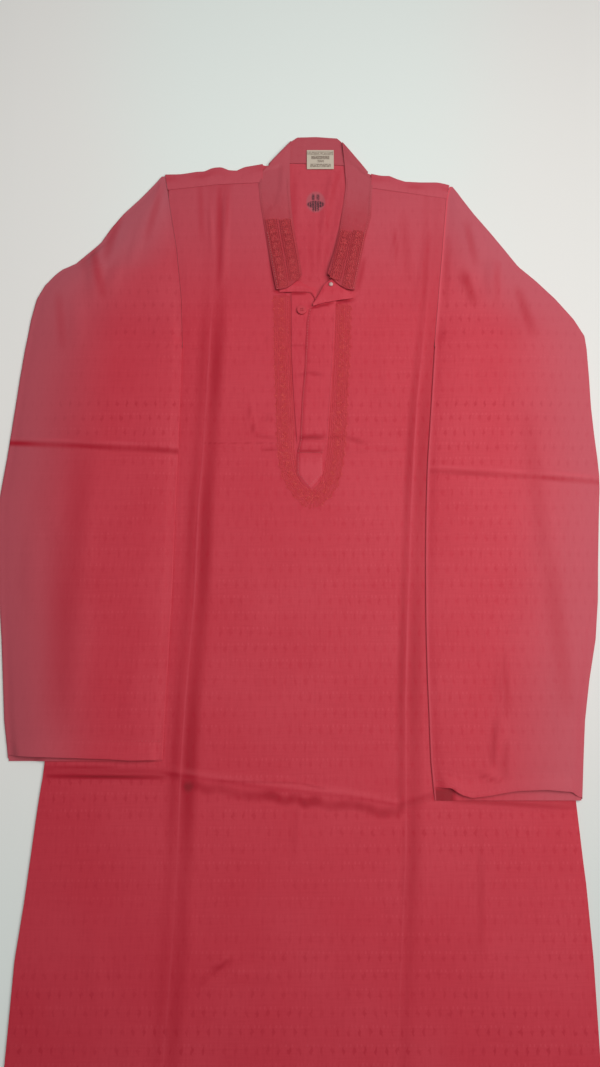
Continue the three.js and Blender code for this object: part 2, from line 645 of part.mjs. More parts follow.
// The collar band lies flat behind the neck with its inside up, and folds over at each side of
// the neck, so that its front parts lie down the neckline with their right side up.
function collar() {
  const rows = [];
  const last = COLLAR_BAND.length - 1;
  const backLevel = COLLAR_WALL / 2;
  const radius = (COLLAR_FRONT_LIFT - backLevel) / 2;
  const down = UP.clone().negate();
  const bandRow = (band, lift, faces, rounding = 0) =>
    COLLAR_ACROSS.map((share, k) => {
      const x = mix(band.seamX, band.freeX, share);
      const up = mix(band.seamUp, band.freeUp, share) - rounding * END_ROUNDING[k];
      return { at: at(x, up, lift), faces };
    });
  COLLAR_BAND.forEach((band, index) => {
    if (!band.fold) {
      const isBack = band.lift < 1;
      const isEnd = index === 0 || index === last;
      rows.push(bandRow(band, band.lift, isBack ? down : UP, isEnd ? 1 : 0));
      return;
    }
    const along = new THREE.Vector3(band.freeX - band.seamX, band.freeUp - band.seamUp, 0);
    const away = new THREE.Vector3(along.y, -along.x, 0).normalize().multiplyScalar(band.fold);
    const turned = [0, 0.25, 0.5, 0.75, 1].map((share) => {
      const angle = (band.fold < 0 ? share : 1 - share) * Math.PI;
      const faces = UP.clone().multiplyScalar(Math.cos(angle));
      faces.addScaledVector(away, Math.sin(angle));
      return bandRow(band, (COLLAR_FRONT_LIFT + backLevel) / 2, faces).map((spot) => ({
        at: spot.at.addScaledVector(faces, radius),
        faces,
      }));
    });
    rows.push(...turned);
  });
  const place = (i, j) => rows[i][j];
  return clothWall({ rows: rows.length, columns: COLLAR_ACROSS.length, place, wall: COLLAR_WALL });
}

function underPlacket() {
  const rows = 6;
  const shares = [0, 0.35, 0.7, 1];
  const place = (i, j) => {
    const up = mix(UNDER_PLACKET.bottom, UNDER_PLACKET.top, i / (rows - 1));
    const rightEdge = read(NECK_EDGES, "up", "right", Math.min(up, UNDER_PLACKET.straightTo));
    const leftEdge = read(NECK_EDGES, "up", "left", up);
    const right = rightEdge + UNDER_PLACKET.right;
    const left = Math.min(right + UNDER_PLACKET_WIDTH, leftEdge - UNDER_PLACKET.left);
    return { at: at(mix(right, left, shares[j]), up, FRONT_LEVEL + CLOTH / 2), faces: UP };
  };
  return clothWall({ rows, columns: shares.length, place, wall: CLOTH });
}

function upperPlacket() {
  const shares = [0, 0.3, 0.6, 1];
  const place = (i, j) => {
    const row = UPPER_PLACKET[i];
    const x = mix(row.right, row.left, shares[j]);
    return { at: at(x, row.up, OVER_FRONT + PLACKET_WALL / 2), faces: UP };
  };
  const rows = UPPER_PLACKET.length;
  return clothWall({ rows, columns: shares.length, place, wall: PLACKET_WALL });
}

// A turned corner of the neckline, standing on the placket under it
function neckCorner(table, level) {
  const shares = [0, 0.5, 1];
  const place = (i, j) => {
    const row = table[i];
    return { at: at(row.x, mix(row.low, row.high, shares[j]), level(row.x) + CLOTH / 2), faces: UP };
  };
  return clothWall({ rows: table.length, columns: shares.length, place, wall: CLOTH });
}

function label() {
  const steps = [LABEL.fromUp, LABEL.bendUp, LABEL.toUp];
  const place = (i, j) => {
    const level = steps[i] < LABEL.bendUp ? CLOTH : COLLAR_WALL;
    const x = mix(LABEL.fromX, LABEL.toX, j);
    return { at: at(x, steps[i], level + SEAM_GAP + LABEL_WALL / 2), faces: UP };
  };
  return clothWall({ rows: steps.length, columns: 2, place, wall: LABEL_WALL });
}

// A small domed button, with its flat back down
function domedButton({ radius, height }) {
  const profile = [
    new THREE.Vector2(0, 0),
    new THREE.Vector2(0.7 * radius, 0),
    new THREE.Vector2(radius, 0.3 * height),
    new THREE.Vector2(0.94 * radius, 0.6 * height),
    new THREE.Vector2(0.6 * radius, 0.9 * height),
    new THREE.Vector2(0, height),
  ];
  const geometry = new THREE.LatheGeometry(profile, 20);
  return geometry.rotateX(Math.PI / 2);
}

function fourHoleButton({ radius, height }) {
  const edge = 0.3;
  const outline = new THREE.Shape().absarc(0, 0, radius - edge, 0, 2 * Math.PI);
  for (let k = 0; k < 4; k++) {
    const angle = (k + 0.5) * (Math.PI / 2);
    const hole = new THREE.Path();
    const x = BUTTON_HOLE.offset * Math.cos(angle);
    const y = BUTTON_HOLE.offset * Math.sin(angle);
    outline.holes.push(hole.absarc(x, y, BUTTON_HOLE.radius, 0, 2 * Math.PI));
  }
  return new THREE.ExtrudeGeometry(outline, {
    depth: height - 2 * edge,
    bevelSize: edge,
    bevelThickness: edge,
    bevelSegments: 2,
    curveSegments: 8,
  }).translate(0, 0, edge);
}

const garment = new THREE.Group();
garment.position.y = -LENGTH / 2;

function add(name, geometry, color, roughness, place = [0, 0, 0]) {
  const material = new THREE.MeshStandardMaterial({ color, roughness, metalness: 0 });
  const mesh = new THREE.Mesh(geometry, material);
  mesh.name = name;
  mesh.position.set(...place);
  garment.add(mesh);
}

// The corner on the wearer's left slopes off the upper placket onto the front
const CORNER_SLOPE = { fromX: 44, over: 14 };
const leftCornerLevel = (x) =>
  mix(OVER_PLACKET, OVER_FRONT, smooth((x - CORNER_SLOPE.fromX) / CORNER_SLOPE.over));
const onCorner = OVER_PLACKET + CLOTH + SEAM_GAP;

add("back", back(), RED, 0.6);
add("front", front(), RED, 0.6);
add("sleeve_right", sleeve("right", SLEEVE_RIGHT, SLEEVE_RIGHT_FOLDS), RED, 0.6);
add("sleeve_left", sleeve("left", SLEEVE_LEFT, SLEEVE_LEFT_FOLDS), RED, 0.6);
add("collar", collar(), EMBROIDERED_RED, 0.65);
add("placket_under", underPlacket(), RED, 0.6);
add("placket_upper", upperPlacket(), RED, 0.6);
add("neck_corner_right", neckCorner(CORNER_RIGHT, () => OVER_FRONT), RED, 0.6);
add("neck_corner_left", neckCorner(CORNER_LEFT, leftCornerLevel), RED, 0.6);
add("neck_label", label(), LABEL_CREAM, 0.8);
add("collar_button", domedButton(COLLAR_BUTTON), PEARL, 0.3, [
  COLLAR_BUTTON.x,
  COLLAR_BUTTON.up,
  onCorner,
]);
add("placket_button", fourHoleButton(PLACKET_BUTTON), RED, 0.4, [
  PLACKET_BUTTON.x,
  PLACKET_BUTTON.up,
  OVER_FRONT,
]);

export default garment;
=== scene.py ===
"""The looks of a crimson kurta laid flat, face up, on a pale floor.

Every size is in millimetres until a mesh is made. X runs from the wearer's right to the
wearer's left and "up" runs from the hem to the collar, as in the part's source.
"""

from __future__ import annotations

import logging
import math
from dataclasses import dataclass, field
from enum import Enum
from typing import Callable, NamedTuple, Sequence

import bpy
import numpy as np
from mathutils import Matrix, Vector

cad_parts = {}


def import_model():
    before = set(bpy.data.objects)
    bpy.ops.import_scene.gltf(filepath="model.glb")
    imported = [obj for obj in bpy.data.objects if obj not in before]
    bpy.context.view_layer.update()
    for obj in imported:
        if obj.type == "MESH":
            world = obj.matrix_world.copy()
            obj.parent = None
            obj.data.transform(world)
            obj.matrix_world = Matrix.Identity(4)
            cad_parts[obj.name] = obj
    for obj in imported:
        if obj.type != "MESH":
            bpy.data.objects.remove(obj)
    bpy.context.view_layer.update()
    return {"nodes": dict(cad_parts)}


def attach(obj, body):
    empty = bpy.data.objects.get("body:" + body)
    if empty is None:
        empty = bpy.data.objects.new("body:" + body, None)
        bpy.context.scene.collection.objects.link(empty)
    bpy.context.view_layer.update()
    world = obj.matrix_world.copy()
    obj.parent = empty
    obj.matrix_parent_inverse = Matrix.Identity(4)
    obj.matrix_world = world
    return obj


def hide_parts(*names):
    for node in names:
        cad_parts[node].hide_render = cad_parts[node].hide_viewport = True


log = logging.getLogger("kurta")

METRES = 0.001
HALF_LENGTH = 530.0


# Tables of the cut, measured in millimetres


class Side(NamedTuple):
    """Distances of the two side edges of the body from the centre line."""

    up: float
    right: float
    left: float


class Spot(NamedTuple):
    """A point of a line across the garment."""

    x: float
    up: float


class Crease(NamedTuple):
    """Where the two pack creases run, and how high they stand."""

    up: float
    right: float
    left: float
    height: float


class Fold(NamedTuple):
    """A soft ridge, or a trough where its height is below nought, along a line."""

    from_x: float
    from_up: float
    to_x: float
    to_up: float
    height: float
    half: float


class Edge(NamedTuple):
    """Distances of a sleeve's inner and outer edges from the centre line."""

    up: float
    inner: float
    outer: float


class Band(NamedTuple):
    """A place along the collar band: its sewn edge, its free edge and its height."""

    seam_x: float
    seam_up: float
    free_x: float
    free_up: float
    lift: float
    fold: int = 0


class Strip(NamedTuple):
    """A place along a narrow strip that runs up the front."""

    up: float
    right: float
    left: float


class Turned(NamedTuple):
    """A place along a turned corner of the neckline."""

    x: float
    low: float
    high: float


def table_of(kind: type, *values: tuple[float, ...]) -> tuple:
    """Makes a table whose rows are all of one kind."""
    return tuple(kind(*value) for value in values)


BODY_SIDES = table_of(
    Side,
    (0, 286, 288), (77, 281, 286), (171, 277, 285), (244, 268.5, 282), (320, 259, 277),
    (480, 247, 263), (640, 234, 250), (765, 225, 238), (785, 214, 228), (793, 190, 205),
    (797, 160, 178), (799, 130.2, 148.5), (858, 132.9, 154.7), (918, 139.7, 161.1),
    (962, 147.5, 165.6), (981, 150.6, 167.6), (1012, 155.8, 175.8),
)
UNDERARM_UP = 765.0
ARMHOLE_BOTTOM = 799.0
SHOULDER_POINT = {"right": 1011.0, "left": 997.0}
SEAM_END = {"right": 990.0, "left": 982.0}

SHOULDER_FOLD = table_of(
    Spot,
    (-156, 1012), (-137, 1012.4), (-119, 1015.5), (-110, 1016), (-101, 1020.5), (-91, 1021.5),
    (-82, 1017.5), (-73, 1017), (-64, 1021.5), (-43, 1025.5), (82, 1013), (93, 1010.5),
    (103, 1010.2), (112, 1006), (121, 1003), (139, 1002), (158, 1002), (167, 1000), (176, 997),
)
SHOULDER_SEAMS = table_of(
    Spot,
    (-156, 991), (-94, 998.5), (-43, 1001), (78.7, 994.5), (115, 989), (176, 979.5),
)
COLLAR_BAND = table_of(
    Band,
    (-26.6, 868.2, 2.3, 886.3, 4.9), (-32.2, 897.7, -1.5, 912.8, 4.5),
    (-38.7, 935.8, -5.7, 938.2, 3.8), (-45.3, 975.6, -9.5, 965.1, 3.5),
    (-47.2, 998.3, -11.5, 992.4, 3.4), (-44.0, 1014, -11.8, 1024, 3.4),
    (-34.9, 1023.7, -10, 1054.3, 0, -1), (-11.6, 1026.6, -3, 1059.4, 0.8),
    (19, 1025.7, 19, 1060, 0.8), (49.7, 1023.7, 43, 1058.2, 0.8),
    (76.9, 1013.5, 48.9, 1052.7, 0, 1), (84.2, 1003, 51.5, 1024, 3.4),
    (82.7, 986.9, 53, 997.8, 3.4), (81.1, 956.9, 50.1, 975.9, 3.6), (74.4, 932.7, 44.9, 942.1, 4.4),
    (69, 906.3, 38.5, 912.8, 5.5), (61, 866.6, 31, 887, 6.7),
)
NECK_EDGES = table_of(
    Side,
    (690, -3.3, 27), (740, -7, 29.6), (799, -9.8, 33.3), (858, -10, 36), (868, -20.7, 56),
    (898, -28.2, 63.4), (918, -31.5, 67.5), (936, -34.7, 71), (962, -39.5, 77.2), (981, -42, 78.4),
    (1000, -43, 78.7),
)
SLIT_BOTTOM = 690.0
FLAT_TOP = 981.0
NECK_MIDDLE = 20.0
CREASES = table_of(
    Crease,
    (0, -134.5, 84, 1.0), (82, -130, 92.5, 1.2), (180, -124.6, 99, 1.5), (272, -121.3, 105, 1.9),
    (330, -120.4, 106.5, 2.6), (419, -117.2, 108.3, 2.6), (521, -110.5, 113.2, 3.0),
    (628, -108, 119.5, 3.2), (684, -104.4, 123.6, 3.6), (741, -102.3, 128.6, 3.0),
    (858, -97.7, 143, 1.6), (980, -94.7, 150, 0.5),
)
CROSS_CREASE = table_of(
    Spot,
    (-253, 349), (-136, 343), (-101, 338), (-50, 331), (0, 325), (50, 320), (98, 312), (131, 322),
    (278, 314),
)
CROSS_CREASE_MIDDLE = 325.0
FRONT_FOLDS = table_of(
    Fold,
    (-104, 688, -44, 687, 0.6, 6), (48, 686, 112, 679, 0.6, 7), (-58, 736, -50, 703, 0.9, 5),
    (-50, 703, -28, 700, 0.8, 4), (-84, 990, -86, 880, 1.4, 8), (-104, 985, -99, 915, 0.9, 6),
    (108, 941, 107, 890, 1.0, 8), (142, 930, 130, 840, 0.9, 8), (-100, 148, -88, 162, 1.3, 7),
    (-88, 162, -66, 175, 1.5, 7), (-92, 141, -70, 153, 1.0, 6), (-70, 153, -45, 161, 1.2, 7),
    (-45, 161, -12, 153, 1.0, 8), (-118, 262, -100, 150, 0.5, 12), (-2, 318, -4, 262, 0.5, 9),
    (173, 240, 176, 120, 0.8, 14), (-205, 230, -190, 96, 0.7, 18), (30, 560, 18, 410, 0.5, 26),
    (-60, 600, -40, 470, 0.5, 24), (70, 250, 40, 110, 0.6, 22), (-20, 270, -38, 60, 0.5, 26),
    (88, 830, 96, 742, 0.7, 12), (-86, 870, -78, 800, 0.6, 11),
)
BACK_FOLDS = table_of(
    Fold,
    (41, 1018, 29, 972, 1.9, 7), (30, 976, 26, 938, 1.7, 6), (46, 1046, 44, 1002, 1.2, 6),
    (54, 1000, 36, 908, 1.3, 8), (18, 958, 16, 884, 1.0, 5), (27, 940, 22, 886, 0.9, 5),
    (-2, 1000, -2, 930, 0.7, 9), (4, 950, 10, 880, 0.8, 5),
)
# Lines of painted shade in the folds inside the back of the neck; each height is the depth of shade.
BACK_SHADES = table_of(
    Fold,
    (45, 1016, 33, 970, 0.55, 5), (33, 972, 30, 936, 0.5, 5), (22, 952, 20, 890, 0.4, 4),
    (31, 932, 27, 884, 0.4, 4), (9, 946, 14, 880, 0.3, 4), (-7, 1010, -8, 930, 0.3, 5),
)
SLEEVE_RIGHT = table_of(
    Edge,
    (361, 138.5, 296), (398, 137.2, 302), (439, 136.2, 306), (480, 135, 310), (521, 133.7, 315),
    (564, 133, 318), (607, 132.3, 321), (628, 132, 322), (674, 131.2, 316.5), (700, 130.9, 314),
    (732, 130.5, 311), (765, 130.3, 308), (799, 130.2, 304.4), (814, 130.9, 302.2),
    (834, 131.8, 299.8), (858, 132.9, 294.8), (874, 134.7, 286.8), (887, 136.2, 275.6),
    (893, 136.9, 268.8), (900, 137.7, 253.8), (918, 139.7, 234.4), (926, 141.1, 226),
    (932, 142.2, 222.4), (944, 144.3, 215), (962, 147.5, 201.5), (981, 150.6, 183),
    (996, 153.1, 170), (1009, 155.3, 159.5),
)
SLEEVE_LEFT = table_of(
    Edge,
    (323, 134, 283), (359, 131.9, 287), (398, 131.5, 291), (439, 130.8, 298), (480, 130.7, 307),
    (521, 131.2, 312), (564, 132.2, 315), (607, 133.8, 318.5), (640, 135.5, 321.5),
    (655, 136.3, 322), (675, 137.7, 321.2), (700, 140, 319.5), (732, 142.8, 318), (765, 145.6, 318),
    (799, 148.5, 317.4), (814, 150.1, 316), (834, 152.2, 305), (858, 154.7, 286), (880, 157, 265),
    (897, 158.9, 246.4), (918, 161.1, 231.5), (940, 163.3, 215.5), (962, 165.6, 198.6),
    (981, 167.6, 185.8), (990, 170, 180), (996, 171.6, 175.6),
)
SLEEVE_CREASE_RIGHT = table_of(Spot, (-313, 691), (-224, 686), (-130, 681))
SLEEVE_CREASE_LEFT = table_of(Spot, (137, 659), (216, 654.5), (321, 647.5))
SLEEVE_RIGHT_FOLDS = table_of(
    Fold,
    (-231, 931, -229, 862, 2.0, 14), (-200, 905, -214, 868, 1.2, 14),
    (-252, 862, -246, 800, 0.9, 16), (-224, 650, -228, 530, 0.9, 20),
    (-230, 540, -234, 380, 0.9, 24), (-180, 640, -172, 560, 0.6, 18),
    (-284, 610, -280, 500, 0.7, 18), (-168, 470, -176, 380, 0.6, 16),
    (-176, 960, -196, 880, 0.9, 13),
)
SLEEVE_LEFT_FOLDS = table_of(
    Fold,
    (217, 905, 215, 852, 2.0, 14), (180, 865, 196, 888, 1.2, 14), (241, 850, 250, 792, 0.9, 16),
    (212, 628, 206, 560, 0.8, 12), (204, 470, 209, 402, 1.3, 9), (203, 403, 196, 354, 1.3, 8),
    (212, 380, 209, 338, 1.0, 7), (260, 640, 266, 520, 0.8, 20), (262, 480, 264, 370, 0.9, 17),
    (178, 350, 201, 342, 1.3, 6), (187, 362, 190, 336, 1.2, 6), (290, 610, 286, 520, 0.7, 18),
    (196, 956, 206, 900, 0.9, 13),
)
# Lines of painted shade along the wrinkles of the wearer's left sleeve; each height is the depth of shade.
SLEEVE_LEFT_SHADES = table_of(
    Fold,
    (209, 466, 212, 406, 0.6, 5), (200, 400, 193, 356, 0.6, 5), (207, 378, 205, 340, 0.5, 4),
    (180, 345, 200, 338, 0.6, 3), (183, 890, 194, 853, 0.75, 9), (189, 950, 198, 900, 0.4, 7),
    (222, 900, 219, 850, 0.35, 7), (244, 868, 258, 816, 0.55, 9), (246, 720, 258, 560, 0.3, 15),
    (262, 570, 272, 410, 0.35, 15), (168, 930, 163, 850, 0.3, 6),
)
# Lines of painted shade along the wrinkles of the wearer's right sleeve; each height is the depth of shade.
SLEEVE_RIGHT_SHADES = table_of(
    Fold,
    (-235, 922, -220, 860, 0.6, 8), (-202, 982, -220, 905, 0.45, 9), (-257, 950, -240, 890, 0.3, 9),
    (-158, 998, -174, 930, 0.35, 7), (-270, 862, -262, 800, 0.3, 8),
    (-231, 690, -240, 560, 0.35, 22), (-242, 590, -246, 410, 0.38, 25),
)
# Lines of painted shade on the slit's bands, each height the depth of shade: along the rows of sewing and
# other lines, and painted shadows under the collar ends and turned corners.
PLACKET_SHADES = table_of(
    Fold,
    (0, 697, 26, 697.5, 1.5, 4.2), (-2, 682, 24, 681.5, 1.3, 3.0), (7, 771, 24, 768, 0.7, 3.4),
    (-3, 768, 8, 770, 0.5, 3.0), (8, 652, 12, 646, 0.4, 2.0), (-10, 864.8, 6, 864.5, 1.6, 2.6),
    (14.6, 846.6, 37, 852.6, 1.6, 2.6),
)
# Lines of painted shade on the front, each height the depth of shade: along folds and creases, and painted
# shadows under the collar ends, the turned corners, the cuffs and the slit's edge.
FRONT_SHADES = table_of(
    Fold,
    (26, 697.4, 50, 697.4, 0.8, 3.8), (49, 698, 69, 691, 0.75, 4.4),
    (-40, 683.6, -25, 683.6, 0.9, 2.2), (-57, 737, -53, 715, 0.6, 2.0),
    (-53, 716, -49, 700, 0.8, 2.2), (-50, 699.5, -26, 696, 0.5, 3.0),
    (-36, 716, -34, 722, 0.5, 4.0), (-37, 808, -36, 812, 0.55, 3.0), (-92, 996, -91, 915, 0.65, 7),
    (-91, 955, -91, 864, 0.55, 6), (-82, 994, -84, 939, 0.4, 4), (-115, 1000, -111, 930, 0.35, 6),
    (107, 941, 110, 904, 0.5, 4), (146, 940, 136, 836, 0.55, 7), (118, 960, 122, 880, 0.3, 8),
    (-253, 352, -183, 351.5, 0.9, 3.4), (-256, 343.5, -136, 342.5, 1.8, 3.6),
    (-252, 348, -136, 347, 0.7, 7.0), (-84, 339, 0, 336.5, 0.6, 1.8),
    (0, 336.5, 26, 330.6, 0.6, 1.8), (150, 320.0, 279, 313.0, 1.0, 4.2),
    (131, 326, 152, 321, 0.8, 4.0), (-97, 149, -85, 161, 0.5, 3), (-85, 161, -67, 172, 0.8, 4),
    (104, 300, 101, 200, 0.3, 5), (-5, 315, -6, 258, 0.35, 4), (176, 300, 180, 140, 0.4, 4),
    (-30, 866, -12, 864.5, 1.7, 3.0), (36, 852, 61, 857.5, 1.7, 3.0),
    (63, 868, 71.5, 906, 1.4, 3.0), (-29, 870, -34.5, 905, 0.7, 2.6),
    (-10.6, 860, -10.4, 799, 0.8, 2.0), (-10.4, 799, -7.4, 740, 0.8, 2.0),
    (-7.4, 740, -3.9, 690, 0.8, 2.0), (-4.4, 690, -4.4, 657, 0.6, 2.0),
)
CUFF_LEFT_EDGE = table_of(
    Spot,
    (132, 10), (151, 9.5), (156, 6), (162, 2.6), (172, 0), (191, 2.4), (216, 6.7), (246, 7.8),
    (272, 5.6), (278, 1), (283, 0),
)
CUFF_RIGHT_EDGE = table_of(
    Spot,
    (-296, 3), (-274, 1.8), (-241, 0.9), (-196, -0.5), (-171, -1.9), (-138, -1.5),
)
UPPER_PLACKET = table_of(
    Strip,
    (641, 8.4, 12.2), (648, 1.6, 18.6), (656, -3.2, 24), (680, -3.2, 24.6), (694, -0.2, 30),
    (740, 1.6, 33.6), (775, 5, 36), (830, 7.4, 39), (845, 10, 39.8), (852, 18.4, 40.2),
    (870, 26, 41),
)
CORNER_RIGHT = table_of(
    Turned,
    (-23, 865.8, 874), (-12, 866, 879), (-2, 866.2, 880), (7, 866, 873.8), (12, 865.2, 870.8),
    (15.4, 861, 868.4), (17.3, 853, 862.5),
)
CORNER_LEFT = table_of(
    Turned,
    (14.6, 848.4, 852.6), (20, 850.4, 862), (27.6, 852.4, 874), (37, 854.2, 882), (50, 856.6, 880),
    (60.5, 859, 872),
)


# Small helpers for numbers


def read(table: Sequence[NamedTuple], key: str, name: str, at: np.ndarray) -> np.ndarray:
    """Reads a column of a table between its rows.

    Args:
        table: Rows in rising order of the key.
        key: Name of the column that is looked up.
        name: Name of the column that is read.
        at: Values of the key.

    Returns:
        The values of the column there.
    """
    keys = [getattr(row, key) for row in table]
    values = [getattr(row, name) for row in table]
    return np.interp(at, keys, values)


def smooth(value: np.ndarray) -> np.ndarray:
    """Rises softly from 0 to 1 as the value goes from 0 to 1."""
    share = np.clip(value, 0.0, 1.0)
    return share * share * (3.0 - 2.0 * share)


def ridge(distance: np.ndarray, half: float) -> np.ndarray:
    """Height, up to 1, of a soft ridge at a distance from its line."""
    share = np.minimum(1.0, np.abs(distance) / half)
    return (1.0 - share * share) ** 2


def within(value: np.ndarray, low: float, rise: float, high: float, fall: float) -> np.ndarray:
    """1 between two places and 0 outside them, with a soft rise and a soft fall."""
    return smooth((value - low) / rise) * smooth((high - value) / fall)


def crest(distance: np.ndarray, half: float | np.ndarray) -> np.ndarray:
    """Height, up to 1, of a pressed crease at a distance from its line."""
    share = np.minimum(1.0, np.sqrt(distance * distance + 0.3) / half)
    return (1.0 - share) ** 1.5


def shelf(distance: np.ndarray, before: float, after: float) -> np.ndarray:
    """Height, up to 1, of a pressed crease whose two sides differ in width."""
    return crest(distance, np.where(distance < 0, before, after))


def beside_creases(x: np.ndarray, up: np.ndarray) -> tuple[np.ndarray, np.ndarray]:
    """Distances inward from the two pack creases."""
    return x - read(CREASES, "up", "right", up), read(CREASES, "up", "left", up) - x


def stacked(*parts: np.ndarray | float) -> np.ndarray:
    """Joins the coordinates of points."""
    return np.stack(np.broadcast_arrays(*parts), axis=-1)


def folds_at(x: np.ndarray, up: np.ndarray, folds: Sequence[Fold]) -> np.ndarray:
    """Adds up the folds that pass near each point.

    Args:
        x: Places across.
        up: Places along.
        folds: The lines, with their heights and half widths.

    Returns:
        The height of the cloth above its flat level.
    """
    total = np.zeros(np.broadcast(x, up).shape)
    for fold in folds:
        along_x = fold.to_x - fold.from_x
        along_up = fold.to_up - fold.from_up
        length = math.hypot(along_x, along_up)
        travel = ((x - fold.from_x) * along_x + (up - fold.from_up) * along_up) / length**2
        share = np.clip(travel, 0.0, 1.0)
        away = np.hypot(x - fold.from_x - share * along_x, up - fold.from_up - share * along_up)
        taper = 0.35 + 0.65 * np.sin(math.pi * share) ** 0.6
        total = np.maximum(total, fold.height * taper * ridge(away, fold.half))
    return total


def ripple(x: np.ndarray, up: np.ndarray) -> np.ndarray:
    """Slow unevenness of cloth that has been folded away, between -1 and 1.

    Args:
        x: Places across.
        up: Places along.

    Returns:
        The unevenness at each point.
    """
    wave = np.sin(x / 31.0 + 1.3 * np.sin(up / 83.0))
    wave = wave + np.sin(up / 47.0 + 1.1 * np.sin(x / 59.0) + 0.6)
    wave = wave + 0.6 * np.sin((x + 0.7 * up) / 23.0 + 2.0 * np.sin(up / 140.0))
    wave = wave + 0.4 * np.sin((1.3 * x - up) / 15.0 + 1.7)
    return wave / 3.0


def shoulder_painted_sheen(up: np.ndarray) -> np.ndarray:
    """Painted sheen on the body's cloth, a paler greyer colour that rises toward the shoulders."""
    return 0.52 * smooth((up - 800.0) / 210.0)


def steps(*spans: tuple[float, float, int]) -> np.ndarray:
    """Joins evenly spaced stretches, each given as its start, its end and its number of steps."""
    parts = [np.linspace(start, end, count, endpoint=False) for start, end, count in spans]
    return np.concatenate([*parts, [spans[-1][1]]])


def number(table: Sequence[NamedTuple], key: str, name: str, at: float) -> float:
    """Reads a column of a table at one place."""
    return float(read(table, key, name, np.array(at)))


def plain_marks(like: np.ndarray, **given: np.ndarray | float) -> dict[str, np.ndarray]:
    """Marks with no painted shade, painted highlight, figure or painted sheen, but for those that are
    given.
    """
    names = ("band", "top", "figure", "bloom")
    return {name: np.broadcast_to(given.get(name, 0.0), like.shape) for name in names}


# Making and joining meshes


def deselect() -> None:
    """Leaves no object selected."""
    bpy.ops.object.select_all(action="DESELECT")


def make_active(piece: bpy.types.Object) -> None:
    """Selects one object alone and makes it the active one.

    Args:
        piece: The object.
    """
    deselect()
    piece.select_set(True)
    bpy.context.view_layer.objects.active = piece


def finish_with(piece: bpy.types.Object, kind: str, **settings: object) -> None:
    """Adds a modifier and applies it.

    Args:
        piece: The object.
        kind: Blender's name for the modifier.
        settings: Its settings.
    """
    modifier = piece.modifiers.new(kind.lower(), kind)
    for name, value in settings.items():
        setattr(modifier, name, value)
    make_active(piece)
    bpy.ops.object.modifier_apply(modifier=modifier.name)


def soften_shading(piece: bpy.types.Object, angle: float = 40.0) -> None:
    """Shades a piece smoothly but keeps edges that are sharper than an angle in degrees."""
    make_active(piece)
    bpy.ops.object.shade_smooth_by_angle(angle=math.radians(angle))


def round_edges(piece: bpy.types.Object, width: float) -> None:
    """Rounds the sharp edges of a piece by a small width in millimetres."""
    finish_with(piece, "BEVEL", width=width * METRES, segments=2, angle_limit=math.radians(60))
    soften_shading(piece)


@dataclass
class Sheet:
    """A grid of cloth that becomes one mesh.

    points holds rows x columns x 3 in millimetres. grain holds the place of each point on the
    cloth itself, in millimetres, with one column more where the grid goes around. marks holds a
    value for each point, such as how much painted crease shade the cloth has there.
    """

    points: np.ndarray
    grain: np.ndarray
    kept: np.ndarray | None = None
    around: bool = False
    marks: dict[str, np.ndarray] = field(default_factory=dict)

    def corner_indices(self) -> tuple[np.ndarray, np.ndarray]:
        """Finds the four corners of every cell that is cloth.

        Returns:
            The points of each corner, and the places of the grain of each corner.
        """
        rows, columns = self.points.shape[:2]
        index = np.arange(rows * columns).reshape(rows, columns)
        last = index if not self.around else np.concatenate([index, index[:, :1]], axis=1)
        grain_columns = self.grain.shape[1]
        places = np.arange(rows * grain_columns).reshape(rows, grain_columns)
        found = []
        for grid in (last, places):
            cells = [grid[:-1, :-1], grid[:-1, 1:], grid[1:, 1:], grid[1:, :-1]]
            found.append(np.stack(cells, axis=-1))
        kept = np.ones(found[0].shape[:2], dtype=bool) if self.kept is None else self.kept
        return found[0][kept], found[1][kept]

    def build(self, name: str, thickness: float) -> bpy.types.Object:
        """Makes the mesh and gives the cloth its thickness.

        Args:
            name: Name of the piece.
            thickness: Thickness of the cloth.

        Returns:
            The object, with its place in its mesh.
        """
        corners, places = self.corner_indices()
        used, compact = np.unique(corners, return_inverse=True)
        quads = compact.reshape(corners.shape)
        placed = self.points.reshape(-1, 3)[used].copy()
        placed[:, 1] -= HALF_LENGTH
        mesh = bpy.data.meshes.new(name)
        mesh.from_pydata((placed * METRES).tolist(), [], quads.tolist())
        layer = mesh.uv_layers.new(name="grain")
        on_cloth = self.grain.reshape(-1, 2)[places.reshape(-1)] * METRES
        layer.data.foreach_set("uv", on_cloth.astype(np.float32).ravel())
        for mark, values in self.marks.items():
            attribute = mesh.attributes.new(mark, "FLOAT", "POINT")
            attribute.data.foreach_set("value", values.reshape(-1)[used].astype(np.float32))
        mesh.validate()
        mesh.update()
        piece = bpy.data.objects.new(name, mesh)
        bpy.context.scene.collection.objects.link(piece)
        finish_with(piece, "SOLIDIFY", thickness=thickness * METRES, offset=0.0)
        soften_shading(piece)
        return piece


class Stitch(NamedTuple):
    """One stitch that lies on the cloth: its middle, its direction, its size and its tone."""

    x: float
    up: float
    z: float
    angle: float
    length: float
    width: float
    tone: float


